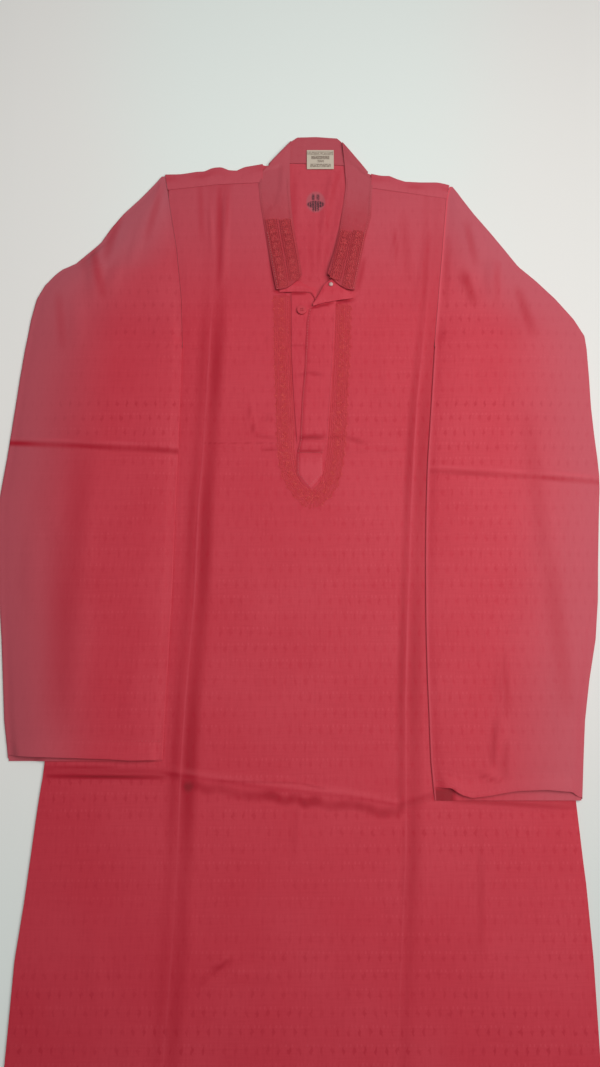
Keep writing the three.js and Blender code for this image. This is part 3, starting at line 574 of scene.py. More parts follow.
@dataclass
class Needle:
    """Sews stitches, all copied from one small modelled stitch."""

    template: np.ndarray
    faces: list[tuple[int, ...]]

    @classmethod
    def threaded(cls) -> "Needle":
        """Models the stitch once, one unit long, wide and high.

        Returns:
            The needle that sews copies of it.
        """
        deselect()
        bpy.ops.mesh.primitive_uv_sphere_add(segments=6, ring_count=4, radius=0.5)
        ball = bpy.context.active_object
        bpy.ops.object.mode_set(mode="EDIT")
        bpy.ops.mesh.select_all(action="SELECT")
        bpy.ops.transform.rotate(value=math.pi / 2, orient_axis="Y", center_override=(0, 0, 0))
        bpy.ops.object.mode_set(mode="OBJECT")
        template = np.array([vertex.co[:] for vertex in ball.data.vertices])
        faces = [tuple(face.vertices) for face in ball.data.polygons]
        bpy.data.objects.remove(ball, do_unlink=True)
        return cls(template, faces)

    def sew(self, name: str, stitches: Sequence[Stitch], height: float = 0.5) -> bpy.types.Object:
        """Makes one piece of many stitches.

        Args:
            name: Name of the piece.
            stitches: Where they lie.
            height: How high a stitch stands, as a share of its width.

        Returns:
            The object.
        """
        rows = np.array(stitches)
        count = len(self.template)
        long = self.template[None, :, 0] * rows[:, None, 4]
        wide = self.template[None, :, 1] * rows[:, None, 5]
        high = self.template[None, :, 2] * rows[:, None, 5] * 2.0 * height
        cosine = np.cos(rows[:, None, 3])
        sine = np.sin(rows[:, None, 3])
        points = np.stack(
            [
                rows[:, None, 0] + long * cosine - wide * sine,
                rows[:, None, 1] + long * sine + wide * cosine - HALF_LENGTH,
                rows[:, None, 2] + high,
            ],
            axis=-1,
        )
        mesh = bpy.data.meshes.new(name)
        faces = [
            tuple(k * count + corner for corner in face)
            for k in range(len(rows))
            for face in self.faces
        ]
        mesh.from_pydata((points.reshape(-1, 3) * METRES).tolist(), [], faces)
        tone = mesh.attributes.new("tone", "FLOAT", "POINT")
        tone.data.foreach_set("value", np.repeat(rows[:, 6], count).astype(np.float32))
        mesh.polygons.foreach_set("use_smooth", [True] * len(mesh.polygons))
        mesh.update()
        piece = bpy.data.objects.new(name, mesh)
        bpy.context.scene.collection.objects.link(piece)
        return piece


@dataclass
class Route:
    """A line over the cloth that stitches follow."""

    points: Sequence[tuple[float, float]]

    def __post_init__(self) -> None:
        """Measures the line."""
        line = np.array(self.points, dtype=float)
        self.line = line
        legs = np.hypot(*np.diff(line, axis=0).T)
        self.lengths = np.concatenate([[0.0], np.cumsum(legs)])

    @property
    def length(self) -> float:
        """Length of the line."""
        return float(self.lengths[-1])

    def at(self, travel: float) -> tuple[float, float, float]:
        """Finds a place on the line.

        Args:
            travel: Distance from the start.

        Returns:
            Its x, its up and the direction of the line there.
        """
        x = float(np.interp(travel, self.lengths, self.line[:, 0]))
        up = float(np.interp(travel, self.lengths, self.line[:, 1]))
        before = max(0.0, travel - 3.0)
        after = min(self.length, travel + 3.0)
        run_x = np.interp(after, self.lengths, self.line[:, 0])
        run_x -= np.interp(before, self.lengths, self.line[:, 0])
        run_up = np.interp(after, self.lengths, self.line[:, 1])
        run_up -= np.interp(before, self.lengths, self.line[:, 1])
        return x, up, math.atan2(run_up, run_x)

    def running(
        self,
        height: Callable[[float, float], float],
        length: float,
        pitch: float,
        width: float,
        tone: float,
    ) -> list[Stitch]:
        """Lays running stitches along the line.

        Args:
            height: Gives the top of the cloth at a place.
            length: Length of a stitch.
            pitch: Distance between stitches.
            width: Width of the thread.
            tone: How light the thread is.

        Returns:
            The stitches.
        """
        made = []
        for travel in np.arange(pitch / 2, self.length, pitch):
            x, up, angle = self.at(float(travel))
            made.append(Stitch(x, up, height(x, up), angle, length, width, tone))
        return made


# Finishes


class Slot(Enum):
    """The record's material slots, by name; nothing in this script uses them."""

    KURTA = "kurta_cloth"
    EMBROIDERED = "embroidered_cloth"
    LABEL = "label_cloth"


class Tree:
    """Adds nodes to one node tree and links them."""

    def __init__(self, tree: bpy.types.NodeTree) -> None:
        """Keeps the tree."""
        self.tree = tree

    def node(self, kind: str, **settings: object) -> bpy.types.Node:
        """Adds a node and sets its properties.

        Args:
            kind: Blender's name for the node.
            **settings: The properties.

        Returns:
            The node.
        """
        made = self.tree.nodes.new(kind)
        for name, value in settings.items():
            setattr(made, name, value)
        return made

    def put(self, value: object, socket: bpy.types.NodeSocket) -> None:
        """Links a socket to another, or sets its value.

        Args:
            value: A socket or a plain value.
            socket: The input that takes it.
        """
        if isinstance(value, bpy.types.NodeSocket):
            self.tree.links.new(value, socket)
        else:
            socket.default_value = value

    def fill(self, node: bpy.types.Node, **values: object) -> None:
        """Fills a node's inputs, with _ for each space in a name."""
        for name, value in values.items():
            self.put(value, node.inputs[name.replace("_", " ")])

    def work(self, kind: str, operation: str, values: Sequence[object]) -> bpy.types.NodeSocket:
        """Adds a node that works out a value from others, and gives its result.

        Args:
            kind: Blender's name for the node.
            operation: What it works out.
            values: The values it takes, in order.

        Returns:
            The result.
        """
        made = self.node(kind, operation=operation)
        for socket, value in zip(made.inputs, values):
            self.put(value, socket)
        return made.outputs[0]

    def math(self, operation: str, *values: object) -> bpy.types.NodeSocket:
        """Adds a Math node and gives its result."""
        return self.work("ShaderNodeMath", operation, values)

    def times(self, first: object, second: object) -> bpy.types.NodeSocket:
        """Multiplies two values."""
        return self.math("MULTIPLY", first, second)

    def minus(self, first: object, second: object) -> bpy.types.NodeSocket:
        """Takes a value from another."""
        return self.math("SUBTRACT", first, second)

    def line(self, value: object, gain: object, start: object) -> bpy.types.NodeSocket:
        """Multiplies a value by a gain and adds a start."""
        return self.math("MULTIPLY_ADD", value, gain, start)

    def vector(self, operation: str, *values: object) -> bpy.types.NodeSocket:
        """Adds a Vector Math node and gives its vector."""
        return self.work("ShaderNodeVectorMath", operation, values)

    def split(self, place: object) -> bpy.types.bpy_prop_collection:
        """Gives the three parts of a vector.

        Args:
            place: The vector.

        Returns:
            The parts, in order.
        """
        parts = self.node("ShaderNodeSeparateXYZ")
        self.put(place, parts.inputs[0])
        return parts.outputs

    def mix(self, share: object, first: object, second: object) -> bpy.types.NodeSocket:
        """Mixes two colours.

        Args:
            share: How much there is of the second.
            first: The first.
            second: The second.

        Returns:
            The mixed colour.
        """
        made = self.node("ShaderNodeMix", data_type="RGBA")
        self.put(share, made.inputs[0])
        self.put(first, made.inputs[6])
        self.put(second, made.inputs[7])
        return made.outputs[2]

    def noise(self, place: object, scale: float, detail: float) -> bpy.types.NodeSocket:
        """Adds a Noise Texture and gives its value.

        Args:
            place: Where the noise is read.
            scale: Its scale.
            detail: Its detail.

        Returns:
            The value.
        """
        made = self.node("ShaderNodeTexNoise", noise_dimensions="3D")
        self.fill(made, Vector=place, Scale=scale, Detail=detail)
        return made.outputs["Fac"]

    def between(self, value: object, low: float, high: float) -> bpy.types.NodeSocket:
        """Maps a value softly from low..high to 0..1.

        Args:
            value: The value.
            low: Where 0 ends.
            high: Where 1 starts.

        Returns:
            The mapped value.
        """
        made = self.node("ShaderNodeMapRange", interpolation_type="SMOOTHSTEP")
        self.fill(made, Value=value, From_Min=low, From_Max=high)
        return made.outputs["Result"]

    def ramp(self, value: object, at: tuple[float, float], to: tuple[float, float]) -> bpy.types.NodeSocket:
        """Maps a value evenly from one pair of ends to another.

        Args:
            value: The value.
            at: The ends that it is mapped from.
            to: The ends that it is mapped to.

        Returns:
            The mapped value.
        """
        made = self.node("ShaderNodeMapRange")
        self.fill(made, Value=value, From_Min=at[0], From_Max=at[1], To_Min=to[0], To_Max=to[1])
        return made.outputs["Result"]

    def oval(
        self,
        place: Sequence[object],
        middle: tuple[float, float],
        half: tuple[float, float],
    ) -> bpy.types.NodeSocket:
        """Gives the distance from the middle of an oval, 1 at its edge.

        Args:
            place: The parts of the place.
            middle: The middle of the oval.
            half: Half of its width and half of its height.

        Returns:
            The distance.
        """
        away_x = self.math("DIVIDE", self.minus(place[0], middle[0]), half[0])
        away_y = self.math("DIVIDE", self.minus(place[1], middle[1]), half[1])
        return self.math("SQRT", self.line(away_y, away_y, self.times(away_x, away_x)))

    def grain(self) -> bpy.types.NodeSocket:
        """Gives the place on the piece's own cloth, in metres."""
        return self.node("ShaderNodeUVMap", uv_map="grain").outputs["UV"]

    def mark(self, name: str) -> bpy.types.NodeSocket:
        """Gives the value that a piece's points hold under a name."""
        return self.node("ShaderNodeAttribute", attribute_name=name).outputs["Fac"]

    def use(self, group: bpy.types.NodeTree, **values: object) -> bpy.types.Node:
        """Places a node group and fills its inputs.

        Args:
            group: The group.
            **values: Its inputs, with _ for each space in a name.

        Returns:
            The node that holds the group.
        """
        made = self.node("ShaderNodeGroup", node_tree=group)
        self.fill(made, **values)
        return made


class Finish:
    """A new material with the tree of its nodes."""

    def __init__(self, name: str) -> None:
        """Makes the material.

        Args:
            name: Name of the material.
        """
        self.material = bpy.data.materials.new(name)
        self.material.use_nodes = True
        self.tree = Tree(self.material.node_tree)
        self.shader = self.material.node_tree.nodes["Principled BSDF"]

    def set(self, **values: object) -> None:
        """Fills the shader's inputs, with _ for each space in a name."""
        self.tree.fill(self.shader, **values)

    def bump(self, height: object, strength: float, distance: float) -> None:
        """Raises the surface by a height that is worked out.

        Args:
            height: The height at each point.
            strength: How strongly it shows.
            distance: How high it is at 1.
        """
        made = self.tree.node("ShaderNodeBump")
        self.tree.fill(made, Strength=strength, Distance=distance, Height=height)
        self.set(Normal=made.outputs[0])


class Effect:
    """A node group that several finishes use, with named inputs and outputs."""

    def __init__(self, name: str, inputs: dict[str, str], outputs: dict[str, str]) -> None:
        """Makes the group and its sockets.

        Args:
            name: Name of the group.
            inputs: Kind of each input, by name.
            outputs: Kind of each output, by name.
        """
        self.group = bpy.data.node_groups.new(name, "ShaderNodeTree")
        for socket, kind in inputs.items():
            self.group.interface.new_socket(socket, in_out="INPUT", socket_type=kind)
        for socket, kind in outputs.items():
            self.group.interface.new_socket(socket, in_out="OUTPUT", socket_type=kind)
        self.tree = Tree(self.group)
        self.given = self.tree.node("NodeGroupInput").outputs
        self.result = self.tree.node("NodeGroupOutput").inputs

    def out(self, name: str, value: bpy.types.NodeSocket) -> None:
        """Links a value to an output."""
        self.tree.put(value, self.result[name])


FLOAT = "NodeSocketFloat"
COLOUR = "NodeSocketColor"
VECTOR = "NodeSocketVector"


class Effects:
    """The effects that the finishes share."""

    def __init__(self) -> None:
        """Builds each effect once."""
        self.weave = self.make_weave()
        self.motif = self.make_motif()
        self.patches = self.make_patches()
        self.crease_shading = self.make_crease_shading()
        self.ink = self.make_ink()

    @staticmethod
    def make_weave() -> bpy.types.NodeTree:
        """Threads that pass over and under one another.

        Returns:
            The node group.
        """
        effect = Effect("weave", {"Place": VECTOR, "Threads": FLOAT}, {"Height": FLOAT})
        tree = effect.tree
        parts = tree.split(effect.given["Place"])
        turns = tree.times(effect.given["Threads"], 2 * math.pi)
        across = tree.math("SINE", tree.times(parts[0], turns))
        along = tree.math("SINE", tree.times(parts[1], turns))
        crossing = tree.times(across, along)
        effect.out("Height", tree.line(crossing, 0.5, 0.5))
        return effect.group

    @staticmethod
    def make_motif() -> bpy.types.NodeTree:
        """A small woven figure, repeated in rows that are set half a step apart.

        Returns:
            The node group.
        """
        effect = Effect(
            "motif",
            {"Place": VECTOR, "Across": FLOAT, "Along": FLOAT},
            {"Leaf": FLOAT, "Dot": FLOAT, "Strength": FLOAT},
        )
        tree = effect.tree
        past_nought = 400.0
        parts = tree.split(effect.given["Place"])
        column = tree.math("DIVIDE", parts[0], effect.given["Across"])
        row = tree.math("DIVIDE", parts[1], effect.given["Along"])
        raised = tree.math("ADD", row, past_nought)
        odd = tree.math("MODULO", tree.math("FLOOR", raised), 2.0)
        shifted = tree.math("ADD", column, tree.line(odd, 0.5, past_nought))
        cell_x = tree.minus(tree.math("FRACT", shifted), 0.5)
        cell_y = tree.minus(tree.math("FRACT", raised), 0.5)
        bend = tree.times(tree.times(cell_y, cell_y), 0.5)
        wander = tree.noise(effect.given["Place"], 210.0, 1.0)
        bend = tree.math("ADD", bend, tree.line(wander, 0.5, -0.25))
        leaf_x = tree.math("DIVIDE", tree.minus(cell_x, bend), 0.19)
        leaf_y = tree.math("DIVIDE", cell_y, 0.27)
        leaf = tree.math("ADD", tree.math("ABSOLUTE", leaf_x), tree.math("ABSOLUTE", leaf_y))
        effect.out("Leaf", tree.between(leaf, 1.3, 0.6))
        dot = tree.oval((tree.math("ABSOLUTE", cell_x), cell_y), (0.3, 0.3), (0.1, 0.1))
        effect.out("Dot", tree.between(tree.times(dot, dot), 1.4, 0.3))
        singly = tree.vector("MULTIPLY", effect.given["Place"], (1.0, 0.6, 1.0))
        effect.out("Strength", tree.between(tree.noise(singly, 95.0, 1.0), 0.22, 0.58))
        return effect.group

    @staticmethod
    def make_patches() -> bpy.types.NodeTree:
        """Uneven tone: slow patches, and fine slubs along the two ways of the weave.

        Returns:
            The node group.
        """
        effect = Effect("patches", {"Place": VECTOR}, {"Patch": FLOAT, "Slub": FLOAT, "Show": FLOAT})
        tree = effect.tree
        place = effect.given["Place"]
        slow = tree.noise(place, 9.0, 2.0)
        effect.out("Patch", tree.between(slow, 0.3, 0.7))
        stretched = tree.vector("MULTIPLY", place, (1.0, 14.0, 1.0))
        upright = tree.vector("MULTIPLY", place, (12.0, 1.0, 1.0))
        lying = tree.noise(stretched, 40.0, 3.0)
        standing = tree.noise(upright, 40.0, 3.0)
        effect.out("Slub", tree.line(lying, 0.5, tree.times(standing, 0.5)))
        shifted = tree.vector("ADD", place, (3.1, 1.7, 0.0))
        effect.out("Show", tree.between(tree.noise(shifted, 14.0, 3.0), 0.36, 0.62))
        return effect.group

    @staticmethod
    def make_crease_shading() -> bpy.types.NodeTree:
        """Painted shade along a pressed crease and under raised edges, darker still past 1,
        and a painted highlight along the crease's top.

        Returns:
            The node group.
        """
        effect = Effect(
            "painted_crease_shade",
            {"Colour": COLOUR, "Deep": COLOUR, "Pale": COLOUR, "Band": FLOAT, "Top": FLOAT},
            {"Colour": COLOUR},
        )
        tree = effect.tree
        banded = tree.mix(effect.given["Band"], effect.given["Colour"], effect.given["Deep"])
        beyond = tree.between(effect.given["Band"], 1.0, 2.0)
        # Past 1 the painted shade goes toward a near-black crimson, for the deepest shadows.
        banded = tree.mix(beyond, banded, (0.25, 0.0, 0.008, 1))
        effect.out("Colour", tree.mix(effect.given["Top"], banded, effect.given["Pale"]))
        return effect.group

    @staticmethod
    def make_ink() -> bpy.types.NodeTree:
        """A plain ink mark inside the back of the neck: a blot between short bars.

        Returns:
            The node group.
        """
        effect = Effect("ink_mark", {"Place": VECTOR}, {"Ink": FLOAT, "Halo": FLOAT})
        tree = effect.tree
        ragged = tree.noise(effect.given["Place"], 900.0, 2.0)
        parts = tree.split(effect.given["Place"])
        halo = tree.between(tree.oval(parts, (0.0180, 0.9775), (0.0108, 0.0132)), 1.12, 0.85)
        effect.out("Halo", tree.times(halo, 0.5))
        ink = tree.between(tree.oval(parts, (0.0180, 0.9744), (0.0098, 0.0046)), 1.15, 0.85)
        upper_left = ((0.0142, 0.9836, 0.0036), (0.0160, 0.9834, 0.0040))
        upper_right = ((0.0196, 0.9836, 0.0034), (0.0216, 0.9830, 0.0038))
        lower = ((0.0152, 0.9690, 0.0030), (0.0178, 0.9684, 0.0026), (0.0206, 0.9692, 0.0030))
        for x, y, half_y in (*upper_left, *upper_right, *lower):
            bar = tree.between(tree.oval(parts, (x, y), (0.0010, half_y)), 1.5, 0.7)
            ink = tree.math("MAXIMUM", ink, bar)
        slits = tree.math("SINE", tree.times(parts[0], 2200.0))
        ink = tree.times(ink, tree.between(slits, -1.3, -0.4))
        ink = tree.times(ink, tree.between(ragged, 0.30, 0.52))
        effect.out("Ink", tree.times(ink, 0.97))
        return effect.group


Colour = tuple[float, float, float, float]


@dataclass(frozen=True)
class KurtaCloth:
    """Crimson cloth with a small woven figure and a faint shader sheen, with painted sheen toward
    edges and shoulders and painted shade and highlight along its creases.
    """

    name: str
    body: Colour = (0.52, 0.025, 0.046, 1)
    # deep colours slubs and the woven figure, and is also the colour of painted crease shade. pale colours
    # random paler tone and the woven dots, and is also the painted highlight colour.
    deep: Colour = (0.385, 0.003, 0.018, 1)
    pale: Colour = (0.60, 0.062, 0.089, 1)
    # Painted sheen colour: a paler, greyer crimson mixed in toward edges and shoulders.
    bloom: Colour = (0.435, 0.088, 0.115, 1)
    figure: float = 0.58
    is_marked: bool = False

    def make(self, effects: Effects) -> bpy.types.Material:
        """Builds the material.

        Args:
            effects: The shared node groups.

        Returns:
            The material.
        """
        finish = Finish(self.name)
        tree = finish.tree
        place = tree.grain()
        weave = tree.use(effects.weave, Place=place, Threads=3000.0)
        motif = tree.use(effects.motif, Place=place, Across=0.0103, Along=0.0165)
        patches = tree.use(effects.patches, Place=place)
        tone = tree.times(patches.outputs["Patch"], 0.22)
        ground = tree.mix(tone, self.body, self.pale)
        slub = tree.times(tree.between(patches.outputs["Slub"], 0.40, 0.68), 0.18)
        slubbed = tree.mix(slub, ground, self.deep)
        shown = tree.line(tree.mark("figure"), 0.8, 0.2)
        patchy = tree.line(patches.outputs["Show"], 0.65, 0.35)
        shown = tree.times(shown, patchy)
        shown = tree.times(shown, motif.outputs["Strength"])
        leaf = tree.times(motif.outputs["Leaf"], shown)
        leaf = tree.times(leaf, self.figure)
        figured = tree.mix(leaf, slubbed, self.deep)
        plain = tree.times(motif.outputs["Strength"], patchy)
        plain = tree.times(plain, 0.28)
        dot = tree.times(motif.outputs["Dot"], plain)
        figured = tree.mix(dot, figured, self.pale)
        # Painted sheen: the paler greyer colour where the sheen mark is high.
        with_painted_sheen = tree.mix(tree.mark("bloom"), figured, self.bloom)
        # Painted shade where the band mark is high, and painted highlight where the top mark is high.
        crease_shaded = tree.use(
            effects.crease_shading,
            Colour=with_painted_sheen,
            Deep=self.deep,
            Pale=self.pale,
            Band=tree.mark("band"),
            Top=tree.mark("top"),
        )
        colour = crease_shaded.outputs["Colour"]
        if self.is_marked:
            ink = tree.use(effects.ink, Place=place)
            colour = tree.mix(ink.outputs["Halo"], colour, (0.36, 0.11, 0.13, 1))
            colour = tree.mix(ink.outputs["Ink"], colour, (0.030, 0.008, 0.016, 1))
        finish.set(
            Base_Color=colour,
            Roughness=tree.line(motif.outputs["Leaf"], 0.12, 0.5),
            Specular_IOR_Level=0.30,
            Sheen_Weight=0.10,
            Sheen_Roughness=0.45,
            Sheen_Tint=(1.0, 0.55, 0.60, 1),
        )
        raised = tree.line(leaf, -1.2, weave.outputs["Height"])
        raised = tree.line(patches.outputs["Slub"], 1.2, raised)
        finish.bump(raised, 0.35, 0.0002)
        return finish.material


@dataclass(frozen=True)
class Thread:
    """Sewing or embroidery thread with a soft gloss."""

    name: str
    dark: Colour
    light: Colour
    gloss: float = 0.38

    def make(self) -> bpy.types.Material:
        """Builds the material.

        Returns:
            The material.
        """
        finish = Finish(self.name)
        tree = finish.tree
        place = tree.node("ShaderNodeTexCoord").outputs["Object"]
        uneven = tree.noise(place, 700.0, 2.0)
        plain = tree.mix(tree.mark("tone"), self.dark, self.light)
        shaded = tree.mix(tree.times(uneven, 0.35), plain, self.dark)
        rough = tree.line(uneven, 0.2, self.gloss)
        finish.set(Base_Color=shaded, Roughness=rough, Sheen_Weight=0.05)
        wave = tree.node("ShaderNodeTexWave", wave_type="BANDS", bands_direction="DIAGONAL")
        tree.fill(wave, Vector=place, Scale=600.0)
        finish.bump(wave.outputs["Fac"], 0.5, 0.0001)
        return finish.material


@dataclass(frozen=True)
class LabelCloth:
    """Cream woven label with a brown border and plain bars."""

    name: str = "cream_label"
    cream: Colour = (0.57, 0.49, 0.39, 1)
    brown: Colour = (0.17, 0.12, 0.09, 1)
    middle: float = 0.0155
    blur: float = 0.0002

    def make(self, effects: Effects) -> bpy.types.Material:
        """Builds the material.

        Args:
            effects: The shared node groups.

        Returns:
            The material.
        """
        finish = Finish(self.name)
        tree = finish.tree
        place = tree.grain()
        parts = tree.split(place)
        weave = tree.use(effects.weave, Place=place, Threads=2600.0)
        total: object = 0.0
        for half_x, middle_y, half_y, depth in (
            (0.0150, 0.0198, 0.0023, 0.6),
            (0.0105, 0.0143, 0.0022, 0.85),
            (0.0040, 0.0096, 0.0016, 0.7),
            (0.0120, 0.0043, 0.0020, 0.75),
        ):
            inside: list[bpy.types.NodeSocket] = []
            for part, middle, half in ((parts[0], self.middle, half_x), (parts[1], middle_y, half_y)):
                away = tree.math("ABSOLUTE", tree.minus(part, middle))
                inside.append(tree.between(away, half + self.blur, half - self.blur))
            bar = tree.times(tree.times(*inside), depth)
            total = tree.math("MAXIMUM", total, bar)
        broken = tree.between(tree.noise(place, 700.0, 1.0), 0.34, 0.50)
        total = tree.times(total, broken)
        ground = tree.mix(tree.times(weave.outputs["Height"], 0.25), self.cream, self.brown)
        finish.set(Base_Color=tree.mix(total, ground, self.brown), Roughness=0.75, Sheen_Weight=0.15)
        finish.bump(weave.outputs["Height"], 0.4, 0.0002)
        return finish.material


@dataclass(frozen=True)
class ButtonResin:
    """Cast button with faint clouds in it."""

    name: str
    clear: Colour
    cloud: Colour
    roughness: float

    def make(self) -> bpy.types.Material:
        """Builds the material.

        Returns:
            The material.
        """
        finish = Finish(self.name)
        tree = finish.tree
        place = tree.node("ShaderNodeTexCoord").outputs["Object"]
        clouds = tree.noise(place, 420.0, 3.0)
        rough = tree.line(tree.noise(place, 1500.0, 2.0), 0.15, self.roughness)
        finish.set(
            Base_Color=tree.mix(clouds, self.clear, self.cloud),
            Roughness=rough,
            Coat_Weight=0.1,
        )
        return finish.material


# Pieces of the garment


@dataclass
class Layers:
    """Heights of the underside of each layer of cloth, and its wall."""

    cloth: float = 1.0
    gap: float = 0.3
    thickness: float = 0.8
    back: float = 0.0
    front: float = 1.3
    over_front: float = 2.6
    over_placket: float = 4.3
    placket_wall: float = 1.4
    collar_wall: float = 1.6

    @property
    def second_middle(self) -> float:
        """Height of the middle of a second layer above the underside of the first."""
        return self.cloth * 1.5 + self.gap

    @property
    def turn_radius(self) -> float:
        """Radius of the middle of the cloth where one layer folds over the next."""
        return (self.cloth + self.gap) / 2

    @property
    def turn_reach(self) -> float:
        """How far a fold stands out past the last flat point of the cloth."""
        return self.turn_radius + self.cloth / 2


LAYERS = Layers()


def declare(
    piece: bpy.types.Object,
    nodes: Sequence[str],
    material: bpy.types.Material,
) -> None:
    """Dresses a piece and says which solids it stands for.

    Args:
        piece: The object.
        nodes: Names of the solids that it replaces.
        material: Its finish.
    """
    piece.data.materials.clear()
    piece.data.materials.append(material)
    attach(piece, "root")
    if nodes:
        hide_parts(*nodes)
    log.info("%s: %d faces", piece.name, len(piece.data.polygons))


@dataclass
class FrontPanel:
    """The front, with its neckline slit, its pack creases and its hem."""

    guide_steps: tuple[int, ...] = (28, 8, 9, 22, 8, 17, 9, 8, 28)
    outer_side: float = 8.0
    inner_side: float = 14.0
    hem_depth: float = 19.0
    tuck: float = 1.8
    pressed: float = 0.17
    wave: float = 0.28

    def relief(self, x: np.ndarray, up: np.ndarray) -> np.ndarray:
        """Height of the front above its flat level.

        Args:
            x: Places across.
            up: Places along.

        Returns:
            The height at each.
        """
        height = read(CREASES, "up", "height", up)
        from_right, from_left = beside_creases(x, up)
        pressed = np.maximum(shelf(from_right, 4.5, 6.0), shelf(from_left, 5.0, 6.0))
        pressed = self.pressed * height * pressed
        waves = self.wave * (ripple(x, up) + 1.0)
        folds = folds_at(x, up, FRONT_FOLDS)
        shown = np.maximum(np.maximum(pressed, folds), np.maximum(waves, self.crossing(x, up)))
        return shown * smooth((up - 2.0) / 18.0) * self.showing(x, up) * self.fading(x, up)

    @staticmethod
    def crossing(x: np.ndarray, up: np.ndarray) -> np.ndarray:
        """Height of the pack crease that crosses the front: steep below in the middle part.

        Args:
            x: Places across.
            up: Places along.

        Returns:
            The height at each point.
        """
        cross = up - read(CROSS_CREASE, "x", "up", x)
        share = within(x, -140.0, 8.0, 104.0, 10.0)
        return 1.1 * shelf(cross - 5.0, 7.0, 18.0) * share + shelf(cross + 1.0, 14.0, 6.0) * (1.0 - share)

    @staticmethod
    def showing(x: np.ndarray, up: np.ndarray) -> np.ndarray:
        """1 where the front shows, falling to 0 where a sleeve lies on it.

        Args:
            x: Places across.
            up: Places along.

        Returns:
            The share at each point.
        """
        is_right = x < 0
        inner = [read(table, "up", "inner", up) for table in (SLEEVE_RIGHT, SLEEVE_LEFT)]
        covered = smooth((np.abs(x) - np.where(is_right, *inner) + 12.0) / 12.0)
        cuff = np.where(is_right, SLEEVE_RIGHT[0].up, SLEEVE_LEFT[0].up)
        covered = covered * smooth((up - cuff + 12.0) / 10.0)
        return np.where(up > ARMHOLE_BOTTOM, 1.0, 1.0 - covered)

    @staticmethod
    def fading(x: np.ndarray, up: np.ndarray) -> np.ndarray:
        """Falls to 0 at the side edges and round the slit, where other pieces lie.

        Args:
            x: Places across.
            up: Places along.

        Returns:
            The share at each point.
        """
        right = -read(BODY_SIDES, "up", "right", up)
        left = read(BODY_SIDES, "up", "left", up)
        edge = smooth(np.minimum(x - right, left - x) / 9.0)
        placket = smooth((np.abs(x - 15.0) - 14.0) / 20.0)
        neck = smooth((up - 640.0) / 22.0)
        seam = smooth((read(SHOULDER_SEAMS, "x", "up", x) - up) / 14.0)
        return edge * seam * (1.0 - neck * (1.0 - placket))

    def top(self, x: float, up: float) -> float:
        """Height of the top of the cloth at a place."""
        level = LAYERS.front + LAYERS.cloth / 2 + LAYERS.thickness / 2
        return level + float(self.relief(np.array(x), np.array(up)))

    def columns(self, up: float) -> np.ndarray:
        """Where the columns of the grid cross a row.

        Args:
            up: Place of the row along the garment.

        Returns:
            The places across.
        """
        crease_right = number(CREASES, "up", "right", up)
        crease_left = number(CREASES, "up", "left", up)
        gap = LAYERS.gap if up >= ARMHOLE_BOTTOM else 0.0
        guides = (
            gap - number(BODY_SIDES, "up", "right", up),
            crease_right - self.outer_side,
            crease_right,
            crease_right + self.inner_side,
            number(NECK_EDGES, "up", "right", up),
            number(NECK_EDGES, "up", "left", up),
            crease_left - self.inner_side,
            crease_left,
            crease_left + self.outer_side,
            number(BODY_SIDES, "up", "left", up) - gap,
        )
        return steps(*zip(guides, guides[1:], self.guide_steps))

    def marks(self, x: np.ndarray, up: np.ndarray) -> dict[str, np.ndarray]:
        """The painted crease shade, painted highlight, figure and painted sheen of the cloth at each point.

        Args:
            x: Places across.
            up: Places along.

        Returns:
            The marks by name.
        """
        from_right, from_left = beside_creases(x, up)
        cross = up - read(CROSS_CREASE, "x", "up", x)
        below = smooth(-cross / 12.0)
        # Painted shade in bands beside the two vertical pack creases.
        right_crease_shade = 0.75 * ridge(from_right + 7.0, 9.0) + 1.2 * ridge(from_right - 8.5, 12.0)
        upper_left = 0.85 * ridge(from_left - 5.0, 6.5) + 0.8 * ridge(from_left + 9.0, 12.0)
        lower_left = 1.0 * ridge(from_left + 8.0, 10.5)
        left_crease_shade = upper_left * (1.0 - below) + lower_left * below
        uneven = 0.80 + 0.20 * np.sin(up / 37.0 + x / 60.0)
        lasting = 0.25 + 0.75 * smooth((880.0 - up) / 120.0)
        near = 0.42 + 0.58 * smooth((up - 190.0) / 150.0)
        band = (right_crease_shade + left_crease_shade) * uneven * lasting * near
        is_middle = within(x, -124.0, 10.0, 104.0, 10.0)
        patchy = 0.84 + 0.16 * np.sin(x / 9.0 + 1.6 * np.sin(x / 23.0))
        strong = 0.65 + 0.35 * ridge(x + 6.0, 60.0)
        jagged = cross + 5.5 + 1.5 * np.sin(x / 5.0 + 2.0 * np.sin(x / 17.0))
        broken = 0.87 + 0.13 * np.sin(x / 2.7 + 2.0 * np.sin(x / 11.0))
        # Painted shade along the crease that crosses the front, patchy and broken.
        band = band + 1.5 * ridge(jagged, 8.0) * patchy * broken * strong * is_middle
        band = band + 0.5 * ridge(cross - 2.0, 6.0) * (1.0 - is_middle)
        # Painted shade in dotted rows along the chest folds, and along the listed shade lines.
        dotted = 0.5 + 0.5 * np.sin(x * 2 * math.pi / 5.5)
        row = ridge(up - 691.0, 1.8) * within(x, -106.0, 4.0, -26.0, 3.0)
        row = row + 0.6 * ridge(up - 682.0, 1.8) * within(x, 60.0, 4.0, 112.0, 4.0)
        band = np.maximum(band + 0.6 * row * dotted, folds_at(x, up, FRONT_SHADES))
